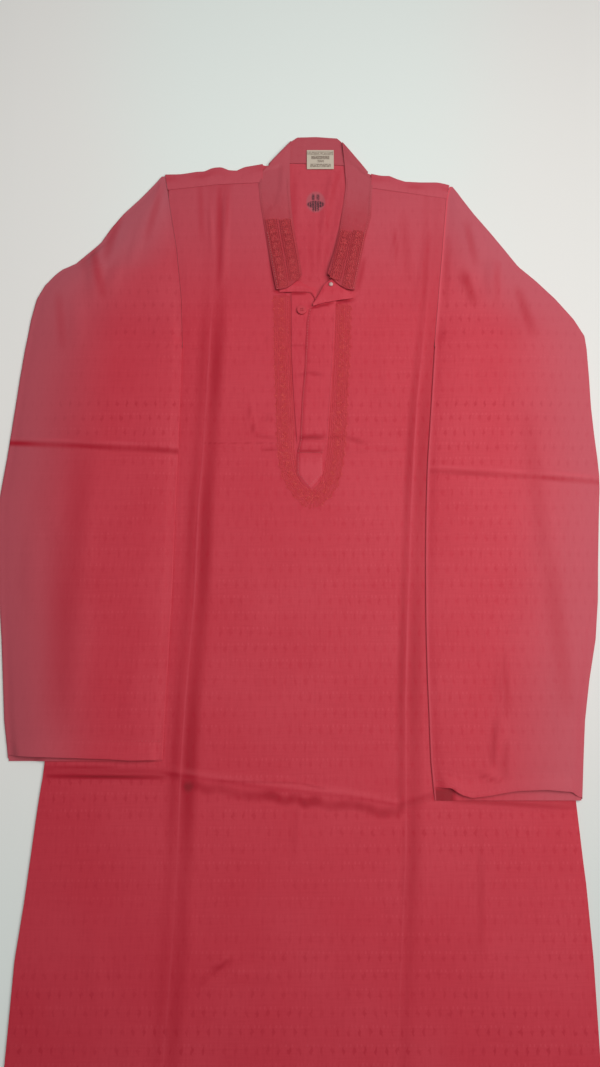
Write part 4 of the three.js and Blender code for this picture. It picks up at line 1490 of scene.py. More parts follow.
        # Painted highlight along the tops of the pack creases and above the crossing crease.
        top = 0.45 * (ridge(from_right, 1.5) + ridge(from_left, 1.5)) * lasting * near * uneven
        top = top + 0.2 * ridge(cross - 8.0, 4.0) * is_middle
        figure = 0.12 + 0.75 * smooth((240.0 - up) / 190.0)
        figure = figure + 0.35 * ridge(cross + 20.0, 40.0) + 0.35 * ridge(up - 735.0, 70.0)
        worked = Placket.worked(x, up)
        return {
            # The worked border's ground is a little darker in its own colour.
            "band": np.clip(np.maximum(band, worked * 0.1), 0.0, 2.0),
            "top": np.clip(top, 0.0, 0.8),
            "figure": np.clip(figure, 0.0, 1.0),
            "bloom": shoulder_painted_sheen(up),
        }

    def build(self, material: bpy.types.Material) -> bpy.types.Object:
        """Builds the panel.

        Args:
            material: Its cloth.

        Returns:
            The object.
        """
        levels = steps(
            (0, 4, 2),
            (4, 300, 66),
            (300, 350, 36),
            (350, 664, 72),
            (664, 706, 22),
            (706, FLAT_TOP, 70),
        )
        rows = []
        for level in levels:
            x = self.columns(float(level))
            sway = smooth(1.0 - (abs(level - CROSS_CREASE_MIDDLE) - 18.0) / 90.0)
            shift = sway * (read(CROSS_CREASE, "x", "up", x) - CROSS_CREASE_MIDDLE)
            rows.append(stacked(x, level + shift))
        last = rows[-1]
        seam = read(SHOULDER_SEAMS, "x", "up", last[:, 0])
        for share in (0.33, 0.66, 0.88, 1.0):
            up = last[:, 1] + share * (seam + self.tuck - last[:, 1])
            rows.append(stacked(last[:, 0], up))
        flat = np.array(rows)
        x = flat[..., 0]
        up = flat[..., 1]
        height = LAYERS.front + LAYERS.cloth / 2 + self.relief(x, up)
        height[-1] -= 0.45
        height[-2] -= 0.2
        slit_from = sum(self.guide_steps[:4])
        slit_to = slit_from + self.guide_steps[4]
        kept = np.ones((x.shape[0] - 1, x.shape[1] - 1), dtype=bool)
        above = flat[:-1, 0, 1] >= SLIT_BOTTOM
        kept[np.ix_(above, range(slit_from, slit_to))] = False
        sheet = Sheet(points=stacked(x, up, height), grain=flat, kept=kept, marks=self.marks(x, up))
        piece = sheet.build("front_panel", LAYERS.thickness)
        declare(piece, ["front"], material)
        return piece


@dataclass
class BackPanel:
    """The back, which turns forward over the shoulders to the shoulder seams."""

    column_steps: tuple[int, int, int] = (34, 42, 30)
    neck_right: float = -43.0
    neck_left: float = 82.0
    rising_rows: int = 6

    def relief(self, x: np.ndarray, up: np.ndarray) -> np.ndarray:
        """Height of the back above the floor level, under the front and in the neck opening.

        Args:
            x: Places across.
            up: Places along.

        Returns:
            The height at each point.
        """
        inside = within(x, -24.0, 14.0, 66.0, 14.0) * within(up, 866.0, 16.0, 1016.0, 14.0)
        height = read(CREASES, "up", "height", up)
        from_right, from_left = beside_creases(x, up)
        under = 0.5 * height * np.maximum(crest(from_right, 12.0), crest(from_left, 12.0))
        under = under * FrontPanel.showing(x, up) * FrontPanel.fading(x, up)
        under = under * smooth((up - 20.0) / 30.0)
        shown = np.maximum(folds_at(x, up, BACK_FOLDS), 0.25 * (ripple(x * 2.2, up * 2.0) + 1.0))
        return np.maximum(under * (1.0 - inside), shown * inside)

    @staticmethod
    def beside_neck(x: np.ndarray) -> np.ndarray:
        """0 inside the neck opening and 1 beside it."""
        return 1.0 - within(x, -46.0, 6.0, 84.0, 6.0)

    def bloom(self, x: np.ndarray, up: np.ndarray) -> np.ndarray:
        """Painted sheen over the shoulders and, less so, inside the neck."""
        return shoulder_painted_sheen(up) * (0.5 + 0.5 * self.beside_neck(x))

    def shade(self, x: np.ndarray, up: np.ndarray) -> np.ndarray:
        """Painted shade in the folds inside the neck and along the shoulder folds.

        Args:
            x: Places across.
            up: Places along.

        Returns:
            The depth at each point.
        """
        inside = folds_at(x, up, BACK_SHADES) * (1.0 - self.beside_neck(x))
        broken = 0.5 + 0.5 * np.sin(x / 9.0 + 1.3 * np.sin(x / 23.0))
        fold = read(SHOULDER_FOLD, "x", "up", x)
        # Painted shade along the shoulder folds, broken along their length.
        over = 0.35 * ridge(up - fold + 7.0, 5.0) * broken * self.beside_neck(x)
        return np.maximum(inside, over)

    def columns(self, up: float) -> np.ndarray:
        """Where the columns of the grid cross a row.

        Args:
            up: Place of the row along the garment.

        Returns:
            The places across.
        """
        gap = LAYERS.gap if up >= ARMHOLE_BOTTOM else 0.0
        right = gap - number(BODY_SIDES, "up", "right", up)
        left = number(BODY_SIDES, "up", "left", up) - gap
        guides = (right, self.neck_right, self.neck_left, left)
        return steps(*zip(guides, guides[1:], self.column_steps))

    def build(self, material: bpy.types.Material) -> bpy.types.Object:
        """Builds the panel.

        Args:
            material: Its cloth.

        Returns:
            The object.
        """
        low = LAYERS.back + LAYERS.cloth / 2
        high = LAYERS.front + LAYERS.cloth / 2
        levels = steps((0, 840, 110), (840, FLAT_TOP, 56))
        rows = []
        grain = []
        for level in levels:
            x = self.columns(float(level))
            rows.append(stacked(x, level, low + self.relief(x, level)))
            grain.append(stacked(x, level))
        index = np.arange(sum(self.column_steps) + 1)
        neck_from = self.column_steps[0]
        neck_to = neck_from + self.column_steps[1]
        is_right = index <= neck_from
        is_neck = (index > neck_from) & (index < neck_to)

        def column_at(ends: dict[str, float]) -> np.ndarray:
            """Places of the columns where each shoulder reaches its own level."""
            return np.where(is_right, self.columns(ends["right"]), self.columns(ends["left"]))

        x = column_at(SHOULDER_POINT)
        fold = read(SHOULDER_FOLD, "x", "up", x) - LAYERS.turn_reach
        neck = read(COLLAR_BAND[6:11], "seam_x", "seam_up", x) - LAYERS.gap
        fold = np.where(is_neck, neck, fold)
        for share in np.linspace(0.2, 1.0, self.rising_rows):
            up = FLAT_TOP + share * (fold - FLAT_TOP)
            here = rows[len(levels) - 1][:, 0] * (1 - share) + x * share
            rows.append(stacked(here, up, low + self.relief(here, up)))
            grain.append(stacked(here, up))
        for angle in np.linspace(0.0, math.pi, 9)[1:-1]:
            out = LAYERS.turn_radius * math.sin(angle)
            middle = (low + high) / 2 - LAYERS.turn_radius * math.cos(angle)
            rows.append(stacked(x, fold + out, middle))
            grain.append(stacked(x, fold + LAYERS.turn_radius * angle))
        seam_x = column_at(SEAM_END)
        seam = read(SHOULDER_SEAMS, "x", "up", seam_x) + LAYERS.gap
        for share in np.linspace(0.0, 1.0, 7):
            here = x + share * (seam_x - x)
            up = fold + share * (seam - fold)
            puff = 0.5 * np.sin(math.pi * share) * (ripple(here * 3.0, up) + 1.0)
            puff = puff + 0.35 * share
            rows.append(stacked(here, up, high + puff))
            grain.append(stacked(here, 2 * fold - up + 2.0))
        points = np.array(rows)
        kept = np.ones((points.shape[0] - 1, points.shape[1] - 1), dtype=bool)
        kept[len(levels) + self.rising_rows - 1 :, neck_from:neck_to] = False
        x = points[..., 0]
        up = points[..., 1]
        marks = plain_marks(up, band=self.shade(x, up), figure=0.35, bloom=self.bloom(x, up))
        sheet = Sheet(points=points, grain=np.array(grain), kept=kept, marks=marks)
        piece = sheet.build("back_panel", LAYERS.thickness)
        declare(piece, ["back"], material)
        return piece


class Arm(Enum):
    """The wearer's two sleeves."""

    RIGHT = "right"
    LEFT = "left"


@dataclass
class Sleeve:
    """A flattened tube from the armhole seam to the cuff.

    sign is -1 on the wearer's right and 1 on the left. Each fold of shades is painted shade
    along a wrinkle, a share sets how much painted sheen the sleeve has, and deep sets how dark
    the painted shade along its crease is.
    The ramps say how far beside the body and above the armhole each layer comes down.
    """

    arm: Arm
    sign: float
    table: Sequence[Edge]
    crease: Sequence[Spot]
    cuff_edge: Sequence[Spot]
    folds: Sequence[Fold]
    shades: Sequence[Fold]
    with_painted_sheen: float
    deep: float
    across: int = 54
    turns: int = 4
    under_ramps: tuple[float, float] = (14.0, 14.0)
    over_ramps: tuple[float, float] = (60.0, 46.0)
    round_trip: float = 0.372
    turn_length: float = 2.0

    @classmethod
    def right(cls) -> "Sleeve":
        """The wearer's right sleeve."""
        drawn = (SLEEVE_RIGHT, SLEEVE_CREASE_RIGHT, CUFF_RIGHT_EDGE)
        return cls(Arm.RIGHT, -1.0, *drawn, SLEEVE_RIGHT_FOLDS, SLEEVE_RIGHT_SHADES, 1.0, 1.05)

    @classmethod
    def left(cls) -> "Sleeve":
        """The wearer's left sleeve."""
        drawn = (SLEEVE_LEFT, SLEEVE_CREASE_LEFT, CUFF_LEFT_EDGE)
        return cls(Arm.LEFT, 1.0, *drawn, SLEEVE_LEFT_FOLDS, SLEEVE_LEFT_SHADES, 0.8, 0.75)

    def cross_at(self, x: np.ndarray) -> np.ndarray:
        """Where the pack crease crosses the sleeve."""
        return read(self.crease, "x", "up", x)

    def near_cuff(self, up: float, reach: float) -> float:
        """1 at the cuff, falling to 0 at a distance from it."""
        return 1.0 - float(smooth(np.array((up - self.table[0].up) / reach)))

    def level(self, up: np.ndarray, x: np.ndarray, ramp: float, rise: float) -> np.ndarray:
        """Level that a layer of the sleeve lies on: the floor, or the front beside it.

        Args:
            up: Places along.
            x: Places across.
            ramp: How far beside the body the cloth takes to come down.
            rise: How far above the armhole's bottom it takes to come down.

        Returns:
            The height of its underside.
        """
        body = read(BODY_SIDES, "up", self.arm.value, np.minimum(up, UNDERARM_UP))
        beside = smooth((np.abs(x) - body - 1.0) / ramp)
        above = smooth((up - ARMHOLE_BOTTOM - 1.0) / rise)
        return LAYERS.over_front * (1.0 - beside) * (1.0 - above)

    def relief(self, x: np.ndarray, up: np.ndarray, edge: np.ndarray) -> np.ndarray:
        """Height of the upper layer above its flat level.

        Args:
            x: Places across.
            up: Places along.
            edge: Distance from the nearer edge of the sleeve.

        Returns:
            The height at each.
        """
        cross = up - self.cross_at(x)
        pressed = 0.9 * shelf(cross - 4.0, 6.0, 14.0) * (0.75 + 0.25 * np.sin(x / 21.0))
        folds = folds_at(x, up, self.folds)
        waves = 0.35 * (ripple(x * 1.1 + 200.0, up) + 1.0)
        shown = np.maximum(np.maximum(pressed, folds), waves)
        return (shown + 1.2 * smooth(edge / 30.0)) * smooth(edge / 8.0)

    def edges(self, up: float) -> tuple[float, float]:
        """Distances of its two edges from the centre line at a place."""
        return number(self.table, "up", "inner", up), number(self.table, "up", "outer", up)

    def stations(self, inner: float, outer: float) -> np.ndarray:
        """Distances of the columns from the centre line, closer near the edges.

        Args:
            inner: Distance of the inner edge.
            outer: Distance of the outer edge.

        Returns:
            The distances.
        """
        share = np.linspace(0.0, 1.0, self.across)
        eased = share - 0.06 * np.sin(2 * math.pi * share)
        return inner + (outer - inner) * eased

    def cuff_shift(self, x: np.ndarray, up: float) -> np.ndarray:
        """How far the upper layer's edge wanders near the cuff."""
        return read(self.cuff_edge, "x", "up", x) * self.near_cuff(up, 42.0)

    def upper_top(self, x: float, up: float) -> float:
        """Height of the top of the upper layer at a place.

        Args:
            x: Place across.
            up: Place along.

        Returns:
            The height.
        """
        at_x = np.array(x)
        at_up = np.array(up)
        inner, outer = self.edges(up)
        edge = np.array(max(0.0, min(abs(x) - inner, outer - abs(x))))
        level = self.level(at_up, at_x, *self.over_ramps)
        wall = LAYERS.second_middle + LAYERS.thickness / 2
        return float(level + wall + self.relief(at_x, at_up, edge))

    def row(self, up: float) -> tuple[np.ndarray, np.ndarray]:
        """Makes one row of the tube.

        Args:
            up: Its place along the sleeve.

        Returns:
            Its points, and their places on the cloth.
        """
        at = np.array(up)
        inner, outer = self.edges(up)
        inner += 0.0 if up > ARMHOLE_BOTTOM else LAYERS.turn_reach
        outer -= LAYERS.turn_reach
        stations = self.stations(inner, outer)
        x = self.sign * stations
        edge = np.minimum(stations - inner, outer - stations)
        shifted = up + self.cuff_shift(x, up)
        base = self.level(at, x, *self.under_ramps)
        share = smooth(edge / 12.0)
        settled = base / LAYERS.over_front * (1.0 - smooth((stations - inner) / 12.0))
        mouth = 1.6 * self.near_cuff(up, 20.0)
        high = self.level(at, x, *self.over_ramps) + LAYERS.second_middle
        high = high + self.relief(x, shifted, edge) + mouth * share
        high_at_ends = base + LAYERS.second_middle - 0.85 * settled
        high = high_at_ends * (1.0 - share) + high * share
        low = base + LAYERS.cloth / 2 - 0.4 * settled
        low_up = up - (3.0 if up <= self.table[0].up else 0.0)
        upper = stacked(x, shifted, high)
        lower = stacked(x, low_up, low)
        outer_turn = self.turn(upper[-1], lower[-1], self.sign, False)
        inner_turn = self.turn(upper[0], lower[0], -self.sign, True)
        points = np.concatenate([upper, outer_turn, lower[::-1], inner_turn])
        width = outer - inner
        turned = np.linspace(0.0, self.turn_length, self.turns + 2)[1:]
        under = width + self.turn_length
        there = (stations - inner, width + turned[:-1])
        back = (under + (outer - stations[::-1]), width + under + turned)
        travel = np.concatenate([*there, *back])
        return points, stacked(travel, up)

    def turn(self, top: np.ndarray, bottom: np.ndarray, outward: float, rising: bool) -> np.ndarray:
        """Rounds the cloth from one layer to the other.

        Args:
            top: Point of the upper layer.
            bottom: Point of the lower layer.
            outward: Which way the fold faces.
            rising: Whether it runs from the bottom to the top.

        Returns:
            The points between them.
        """
        middle = (top + bottom) / 2
        angles = np.linspace(0.0, math.pi, self.turns + 2)[1:-1]
        if rising:
            angles = angles[::-1]
        out = outward * LAYERS.turn_radius * np.sin(angles)
        rise = (top[2] - bottom[2]) / 2 * np.cos(angles)
        return middle + stacked(out, 0.0, rise)

    def marks(self, x: np.ndarray, up: np.ndarray) -> dict[str, np.ndarray]:
        """The painted crease shade, painted highlight, figure and painted sheen of the sleeve at each
        point.

        Args:
            x: Places across.
            up: Places along.

        Returns:
            The marks by name.
        """
        cross = up - self.cross_at(x)
        from_edge = read(self.table, "up", "outer", up) - np.abs(x)
        # Painted sheen, strongest along the sleeve's outer edge and toward the shoulder.
        bloom = 0.72 * (1.0 - smooth(from_edge / 115.0)) + 0.28 * smooth((up - 760.0) / 200.0)
        # Painted shade along the sleeve's pack crease and along the listed wrinkles.
        band = self.deep * ridge(cross, 5.0) * (0.8 + 0.2 * np.sin(x / 13.0))
        band = np.maximum(band, folds_at(x, up, self.shades))
        # Painted highlight along the top of the crease.
        top = 0.35 * ridge(cross - 5.5, 3.0) * (0.6 + 0.4 * np.sin(x / 11.0))
        if self.arm is Arm.LEFT:
            cuff = self.table[0].up
            # Painted shadow on the lower layer just inside the cuff, under the upper layer's edge.
            cuff_shadow = 1.7 * smooth((cuff + 10.0 - up) / 3.0) * smooth((158.0 - x) / 6.0)
            band = np.maximum(band, cuff_shadow)
            # Painted highlight along the turned inner edge.
            inner_edge = read(self.table, "up", "inner", up) + LAYERS.turn_reach
            top = np.maximum(top, 0.9 * (1.0 - smooth((np.abs(x) - inner_edge) / 1.5)))
        figure = 0.08 + 0.35 * ridge(cross - 30.0, 70.0) + 0.35 * smooth((up - 780.0) / 60.0)
        figure = figure + 0.8 * ridge(up - 733.0, 20.0) + 0.5 * ridge(up - 812.0, 14.0)
        return {
            "band": np.clip(band, 0.0, 2.0),
            "top": np.clip(top, 0.0, 0.9),
            "figure": np.clip(figure, 0.0, 1.0),
            "bloom": np.clip(self.with_painted_sheen * bloom, 0.0, 0.95),
        }

    def build(self, material: bpy.types.Material) -> bpy.types.Object:
        """Builds the sleeve.

        Args:
            material: Its cloth.

        Returns:
            The object.
        """
        start = self.table[0].up
        end = self.table[-1].up
        cross = float(self.cross_at(np.array(self.sign * 220.0)))
        levels = steps(
            (start, start + 12, 6),
            (start + 12, cross - 14, 78),
            (cross - 14, cross + 16, 20),
            (cross + 16, ARMHOLE_BOTTOM, 30),
            (ARMHOLE_BOTTOM, 830, 10),
            (830, end, 48),
        )
        made = [self.row(float(level)) for level in levels]
        points = np.array([row for row, _ in made])
        grain = np.array([place for _, place in made])
        columns = points.shape[1]
        kept = np.ones((points.shape[0] - 1, columns), dtype=bool)
        is_open = levels[:-1] >= ARMHOLE_BOTTOM
        kept[np.ix_(is_open, range(columns - self.turns - 1, columns))] = False
        x = points[..., 0]
        up = points[..., 1]
        sheet = Sheet(points=points, grain=grain, kept=kept, around=True, marks=self.marks(x, up))
        piece = sheet.build(f"sleeve_{self.arm.value}_tube", LAYERS.thickness)
        declare(piece, [f"sleeve_{self.arm.value}"], material)
        return piece


@dataclass
class Collar:
    """A band that lies flat behind the neck and folds over beside it.

    WALL is the thickness of the band, SWELL how far its middle stands up in front and RISE the
    most that swell and unevenness raise it.
    """

    WALL = 1.1
    SWELL = 0.5
    RISE = 0.8

    front_level: float = 3.4
    sewn_level: float = 2.35
    free_drop: float = 1.5
    turn_rows: int = 9
    width: float = 34.0
    flat_width: float = 0.036
    pitch: float = 3.0
    end_round: float = 5.8
    end_reach: float = 6.0

    def rows(self) -> np.ndarray:
        """Finds the middle of the band, row by row, as rows x 2 x 3.

        Returns:
            The seam edge and the free edge of each row.
        """
        back_level = LAYERS.collar_wall / 2
        radius = (self.front_level - back_level) / 2
        made = []
        for band in COLLAR_BAND:
            seam = np.array([band.seam_x, band.seam_up])
            free = np.array([band.free_x, band.free_up])
            if band.fold == 0:
                sunk = self.sewn_level - self.front_level
                standing = float(smooth(np.array((band.lift - 3.8) / 1.2)))
                is_behind = band.lift < LAYERS.front
                is_low = float(smooth(np.array((band.free_up - 905.0) / 25.0)))
                seam_lift = band.lift + (0.0 if is_behind else sunk * (1.0 - standing))
                sinking = 0.7 * is_low if band.free_x < NECK_MIDDLE else 1.2
                free_lift = band.lift - (0.0 if is_behind else sinking)
                made.append([[*seam, seam_lift], [*free, free_lift]])
                continue
            along = free - seam
            away = band.fold * np.array([along[1], -along[0]]) / np.hypot(*along)
            for share in np.linspace(0.0, 1.0, self.turn_rows):
                angle = (share if band.fold < 0 else 1.0 - share) * math.pi
                lift = (self.front_level + back_level) / 2 + radius * math.cos(angle)
                out = away * radius * math.sin(angle)
                drop = np.array([0.0, -self.free_drop * (1.0 + math.cos(angle)) / 2])
                made.append([[*(seam + out), lift], [*(free + 0.4 * out + drop), lift]])
        return np.array(made)

    def fine_rows(self) -> np.ndarray:
        """Spaces the rows about one pitch apart.

        Returns:
            The rows, as rows x 2 x 3.
        """
        coarse = self.rows()
        fine = []
        for a, b in zip(coarse, coarse[1:]):
            count = max(1, round(float(np.linalg.norm((b - a).mean(axis=0))) / self.pitch))
            fine.extend(a + (b - a) * k / count for k in range(count))
        fine.append(coarse[-1])
        return np.array(fine)

    def build(self, material: bpy.types.Material) -> bpy.types.Object:
        """Builds the band.

        Args:
            material: Its cloth.

        Returns:
            The object.
        """
        rows = self.fine_rows()
        shares = steps((0.0, 0.06, 2), (0.06, 0.94, 12), (0.94, 1.0, 2))
        seam = rows[:, 0][:, None, :]
        free = rows[:, 1][:, None, :]
        points = seam + (free - seam) * shares[None, :, None]
        count = len(rows)
        from_end = np.minimum(np.arange(count), count - 1 - np.arange(count)) * self.pitch
        near_end = np.maximum(0.0, 1.0 - from_end / self.end_reach)[:, None]
        points[..., 1] -= near_end * self.end_round * np.sin(math.pi * shares)
        x = points[..., 0]
        up = points[..., 1]
        is_front = points[..., 2] > LAYERS.over_front
        edge = np.minimum(shares, 1.0 - shares)[None, :] * self.width
        swell = self.SWELL * smooth(edge / 9.0) + 0.15 * (ripple(x * 4.0, up * 3.0) + 1.0)
        points[..., 2] += np.where(is_front, swell, 0.0)
        legs = np.linalg.norm(np.diff(rows.mean(axis=1), axis=0), axis=1)
        travel = np.concatenate([[0.0], np.cumsum(legs)])
        grain = stacked(shares * self.width, travel[:, None])
        worked_right = 956.3 - 0.05 * (x + 25.0)
        worked_left = 941.0 - 0.083 * (x - 55.0)
        worked_below = np.where(x < NECK_MIDDLE, worked_right, worked_left)
        worked = np.where(is_front, smooth((worked_below - up) / 3.0), 0.0)
        # Painted sheen toward the back of the neck.
        bloom = 0.5 * smooth((up - 925.0) / 80.0)
        marks = plain_marks(up, band=0.1 * worked, figure=0.9, bloom=bloom)
        piece = Sheet(points=points, grain=grain, marks=marks).build("collar_band", self.WALL)
        round_edges(piece, 0.3)
        declare(piece, ["collar"], material)
        return piece

    @staticmethod
    def front_bands(is_right: bool) -> Sequence[Band]:
        """The places along one front part of the band, from its end to its fold."""
        return COLLAR_BAND[:6] if is_right else COLLAR_BAND[:-7:-1]

    @staticmethod
    def lane(arm: Arm, share: float, high: float) -> list[tuple[float, float]]:
        """Finds a line along a front part of the band, from a height down to its end.

        Args:
            arm: Which side of the wearer it is on.
            share: Its place across the band, from 0 at the sewn edge to 1 at the free edge.
            high: Where it starts, measured up the front.

        Returns:
            The points of the line.
        """
        side = Collar.front_bands(arm is Arm.RIGHT)
        line = []
        for band in side:
            x = band.seam_x + share * (band.free_x - band.seam_x)
            up = band.seam_up + share * (band.free_up - band.seam_up)
            line.append((x, up - 4.0 * math.sin(math.pi * share) * (band is side[0])))
        ups = [up for _, up in line]
        start = float(np.interp(high, ups, [x for x, _ in line]))
        return [(start, high), *[spot for spot in line[::-1] if spot[1] < high - 2.0]]

    @staticmethod
    def top(x: float, up: float) -> float:
        """Height of the top of a front part of the band at a place.

        Args:
            x: Place across.
            up: Place along.

        Returns:
            The height.
        """
        side = Collar.front_bands(x < NECK_MIDDLE)
        crossed = []
        for band in side:
            share = (x - band.seam_x) / (band.free_x - band.seam_x)
            crossed.append(band.seam_up + share * (band.free_up - band.seam_up))
        lift = float(np.interp(up, crossed, [band.lift for band in side]))
        return lift + Collar.WALL / 2 + Collar.RISE


class Placket:
    """The slit's two bands and the turned corners of the neckline.

    BARS are the two rows of sewing across the upper band. The worked border runs between its
    outer and its inner line, each from the wearer's right, round its TIP, to the left.
    """

    BARS = (680.0, 695.0)
    TIP = 5
    BORDER_OUTER = (
        (-30.0, 863.0), (-28.6, 773.0), (-26.0, 712.0), (-26.4, 670.0), (-19.0, 646.0),
        (10.7, 613.0), (33.3, 628.0), (45.5, 648.0), (54.5, 684.0), (55.0, 745.4),
        (57.8, 786.6), (58.3, 854.0),
    )
    BORDER_INNER = (
        (-11.0, 861.0), (-9.8, 798.0), (-7.0, 740.6), (-4.5, 693.0), (-4.5, 660.0),
        (10.5, 637.5), (25.5, 651.0), (26.5, 709.0), (30.0, 740.6), (33.8, 798.0), (36.6, 850.0),
    )

    @classmethod
    def worked(cls, x: np.ndarray, up: np.ndarray) -> np.ndarray:
        """1 on the ground of the embroidery and 0 off it.

        Args:
            x: Places across.
            up: Places along.

        Returns:
            The share at each point.
        """
        sides = []
        for line in (cls.BORDER_OUTER, cls.BORDER_INNER):
            for side in (line[cls.TIP :: -1], line[cls.TIP :]):
                sides.append(np.interp(up, [spot[1] for spot in side], [spot[0] for spot in side]))
        outer_right, outer_left, inner_right, inner_left = sides
        outside = smooth((x - outer_right + 1.5) / 3.0) * smooth((outer_left + 1.5 - x) / 3.0)
        inside = smooth((x - inner_right + 1.0) / 2.0) * smooth((inner_left + 1.0 - x) / 2.0)
        inside = np.where(up > cls.BORDER_INNER[cls.TIP][1], inside, 0.0)
        return outside * (1.0 - inside) * within(up, 612.0, 4.0, 862.0, 3.0)

    def strip(
        self,
        table: Sequence[Strip],
        level: float,
        wall: float,
        columns: int,
        sag: float = 0.0,
    ) -> Sheet:
        """Lays out a strip that runs up the front.

        Args:
            table: Its two edges.
            level: Height of its underside.
            wall: Its wall.
            columns: Number of columns.
            sag: How far its right edge comes down.

        Returns:
            Its sheet.
        """
        low = table[0].up
        high = table[-1].up
        even = np.linspace(low, high, int((high - low) / 2.5))
        levels = np.unique([*even, *(row.up for row in table)])
        right = read(table, "up", "right", levels)
        left = read(table, "up", "left", levels)
        shares = np.linspace(0.0, 1.0, columns)
        x = right[:, None] + (left - right)[:, None] * shares[None, :]
        up = np.broadcast_to(levels[:, None], x.shape)
        edge = np.minimum(x - right[:, None], left[:, None] - x)
        waves = 0.22 * (ripple(x * 3.0, up * 1.7) + 1.0) * smooth(edge / 4.0)
        height = level + wall / 2 + waves - sag * (1.0 - smooth((x - right[:, None]) / 4.0))
        points = stacked(x, up, height)
        return Sheet(points=points, grain=points[..., :2], marks=plain_marks(x, figure=0.3))

    def build_under(self, material: bpy.types.Material) -> bpy.types.Object:
        """Builds the under band of the slit.

        Args:
            material: Its cloth.

        Returns:
            The band.
        """
        ups = (690.5, 720.0, 740.0, 770.0, 799.0, 830.0, 858.0, 872.0)
        table = []
        for up in ups:
            right = number(NECK_EDGES, "up", "right", min(up, 858.0)) + 0.4
            inner_left = number(NECK_EDGES, "up", "left", up) - 0.6
            table.append(Strip(up, right, min(right + 28.0, inner_left)))
        sheet = self.strip(table, LAYERS.front, LAYERS.cloth, 12)
        x = sheet.points[..., 0]
        up = sheet.points[..., 1]
        # Painted shade: a short dark line across the band's right part, and the listed shade lines.
        painted_shade_line = 0.45 * ridge(up - 803.0, 2.2) * smooth((7.0 - x) / 3.0)
        sheet.marks["band"] = folds_at(x, up, PLACKET_SHADES) + painted_shade_line
        sheet.points[..., 2] += 0.3 * ridge(up - 818.0, 9.0) * smooth((x + 12.0) / 4.0)
        piece = sheet.build("placket_under_band", LAYERS.thickness)
        declare(piece, ["placket_under"], material)
        return piece

    def build_upper(self, material: bpy.types.Material) -> bpy.types.Object:
        """Builds the upper band of the slit, which ends in a point.

        Args:
            material: Its cloth.

        Returns:
            The band.
        """
        sheet = self.strip(UPPER_PLACKET, LAYERS.over_front, LAYERS.placket_wall, 18, sag=0.8)
        x = sheet.points[..., 0]
        up = sheet.points[..., 1]
        # Painted shade along the listed shade lines, and the tip below the bars made paler through the
        # painted-highlight mark.
        sheet.marks["band"] = folds_at(x, up, PLACKET_SHADES)
        sheet.marks["top"] = 0.35 * smooth((674.0 - up) / 6.0)
        for bar_up in self.BARS:
            sheet.points[..., 2] -= 0.35 * ridge(up - bar_up, 2.5)
        piece = sheet.build("placket_upper_band", 0.6)
        round_edges(piece, 0.25)
        declare(piece, ["placket_upper"], material)
        return piece

    def build_corner(
        self,
        arm: Arm,
        table: Sequence[Turned],
        level: Callable[[np.ndarray], np.ndarray],
        material: bpy.types.Material,
    ) -> bpy.types.Object:
        """Builds a turned corner of the neckline.

        Args:
            arm: Which side of the wearer it is on.
            table: Its lower and upper edges.
            level: Height of its underside across.
            material: Its cloth.

        Returns:
            The object.
        """
        across = np.linspace(table[0].x, table[-1].x, 26)
        low = read(table, "x", "low", across)
        high = read(table, "x", "high", across)
        shares = np.linspace(0.0, 1.0, 10)
        up = low[:, None] + (high - low)[:, None] * shares[None, :]
        x = np.broadcast_to(across[:, None], up.shape)
        if arm is Arm.LEFT:
            up = up - 1.6 * smooth((26.0 - x) / 4.0) * smooth((shares[None, :] - 0.6) / 0.4)
        lift = 0.5 * np.sin(math.pi * shares)[None, :] + 0.2 * ripple(x * 5.0, up * 4.0)
        height = level(x) + LAYERS.cloth / 2 + np.maximum(0.0, lift)
        points = stacked(x, up, height)
        sheet = Sheet(points=points, grain=points[..., :2], marks=plain_marks(up, figure=0.2))
        piece = sheet.build(f"neck_corner_{arm.value}_turned", LAYERS.thickness)
        declare(piece, [f"neck_corner_{arm.value}"], material)
        return piece


@dataclass
class Label:
    """A woven label sewn into the back of the neck."""

    from_x: float = 8.0
    to_x: float = 39.0
    from_up: float = 1018.5
    bend_up: float = 1023.2
    to_up: float = 1042.4
    wall: float = 0.6
    columns: int = 26
    rows: int = 22

    def build(self, material: bpy.types.Material) -> bpy.types.Object:
        """Builds the label.

        Args:
            material: Its cloth.

        Returns:
            The object.
        """
        across = np.linspace(self.from_x, self.to_x, self.columns)
        along = np.linspace(self.from_up, self.to_up, self.rows)
        x, up = np.meshgrid(across, along)
        low = LAYERS.cloth + LAYERS.gap + self.wall / 2
        high = LAYERS.collar_wall + LAYERS.gap + self.wall / 2
        height = low + (high - low) * smooth((up - self.bend_up + 5.0) / 6.0)
        height = height + 0.25 * (ripple(x * 4.0, up * 5.0) + 1.0) * smooth((self.to_up - up) / 4.0)
        points = stacked(x, up, height)
        sheet = Sheet(points=points, grain=points[..., :2] - (self.from_x, self.from_up))
        piece = sheet.build("neck_label_cloth", 0.45)
        declare(piece, ["neck_label"], material)
        return piece


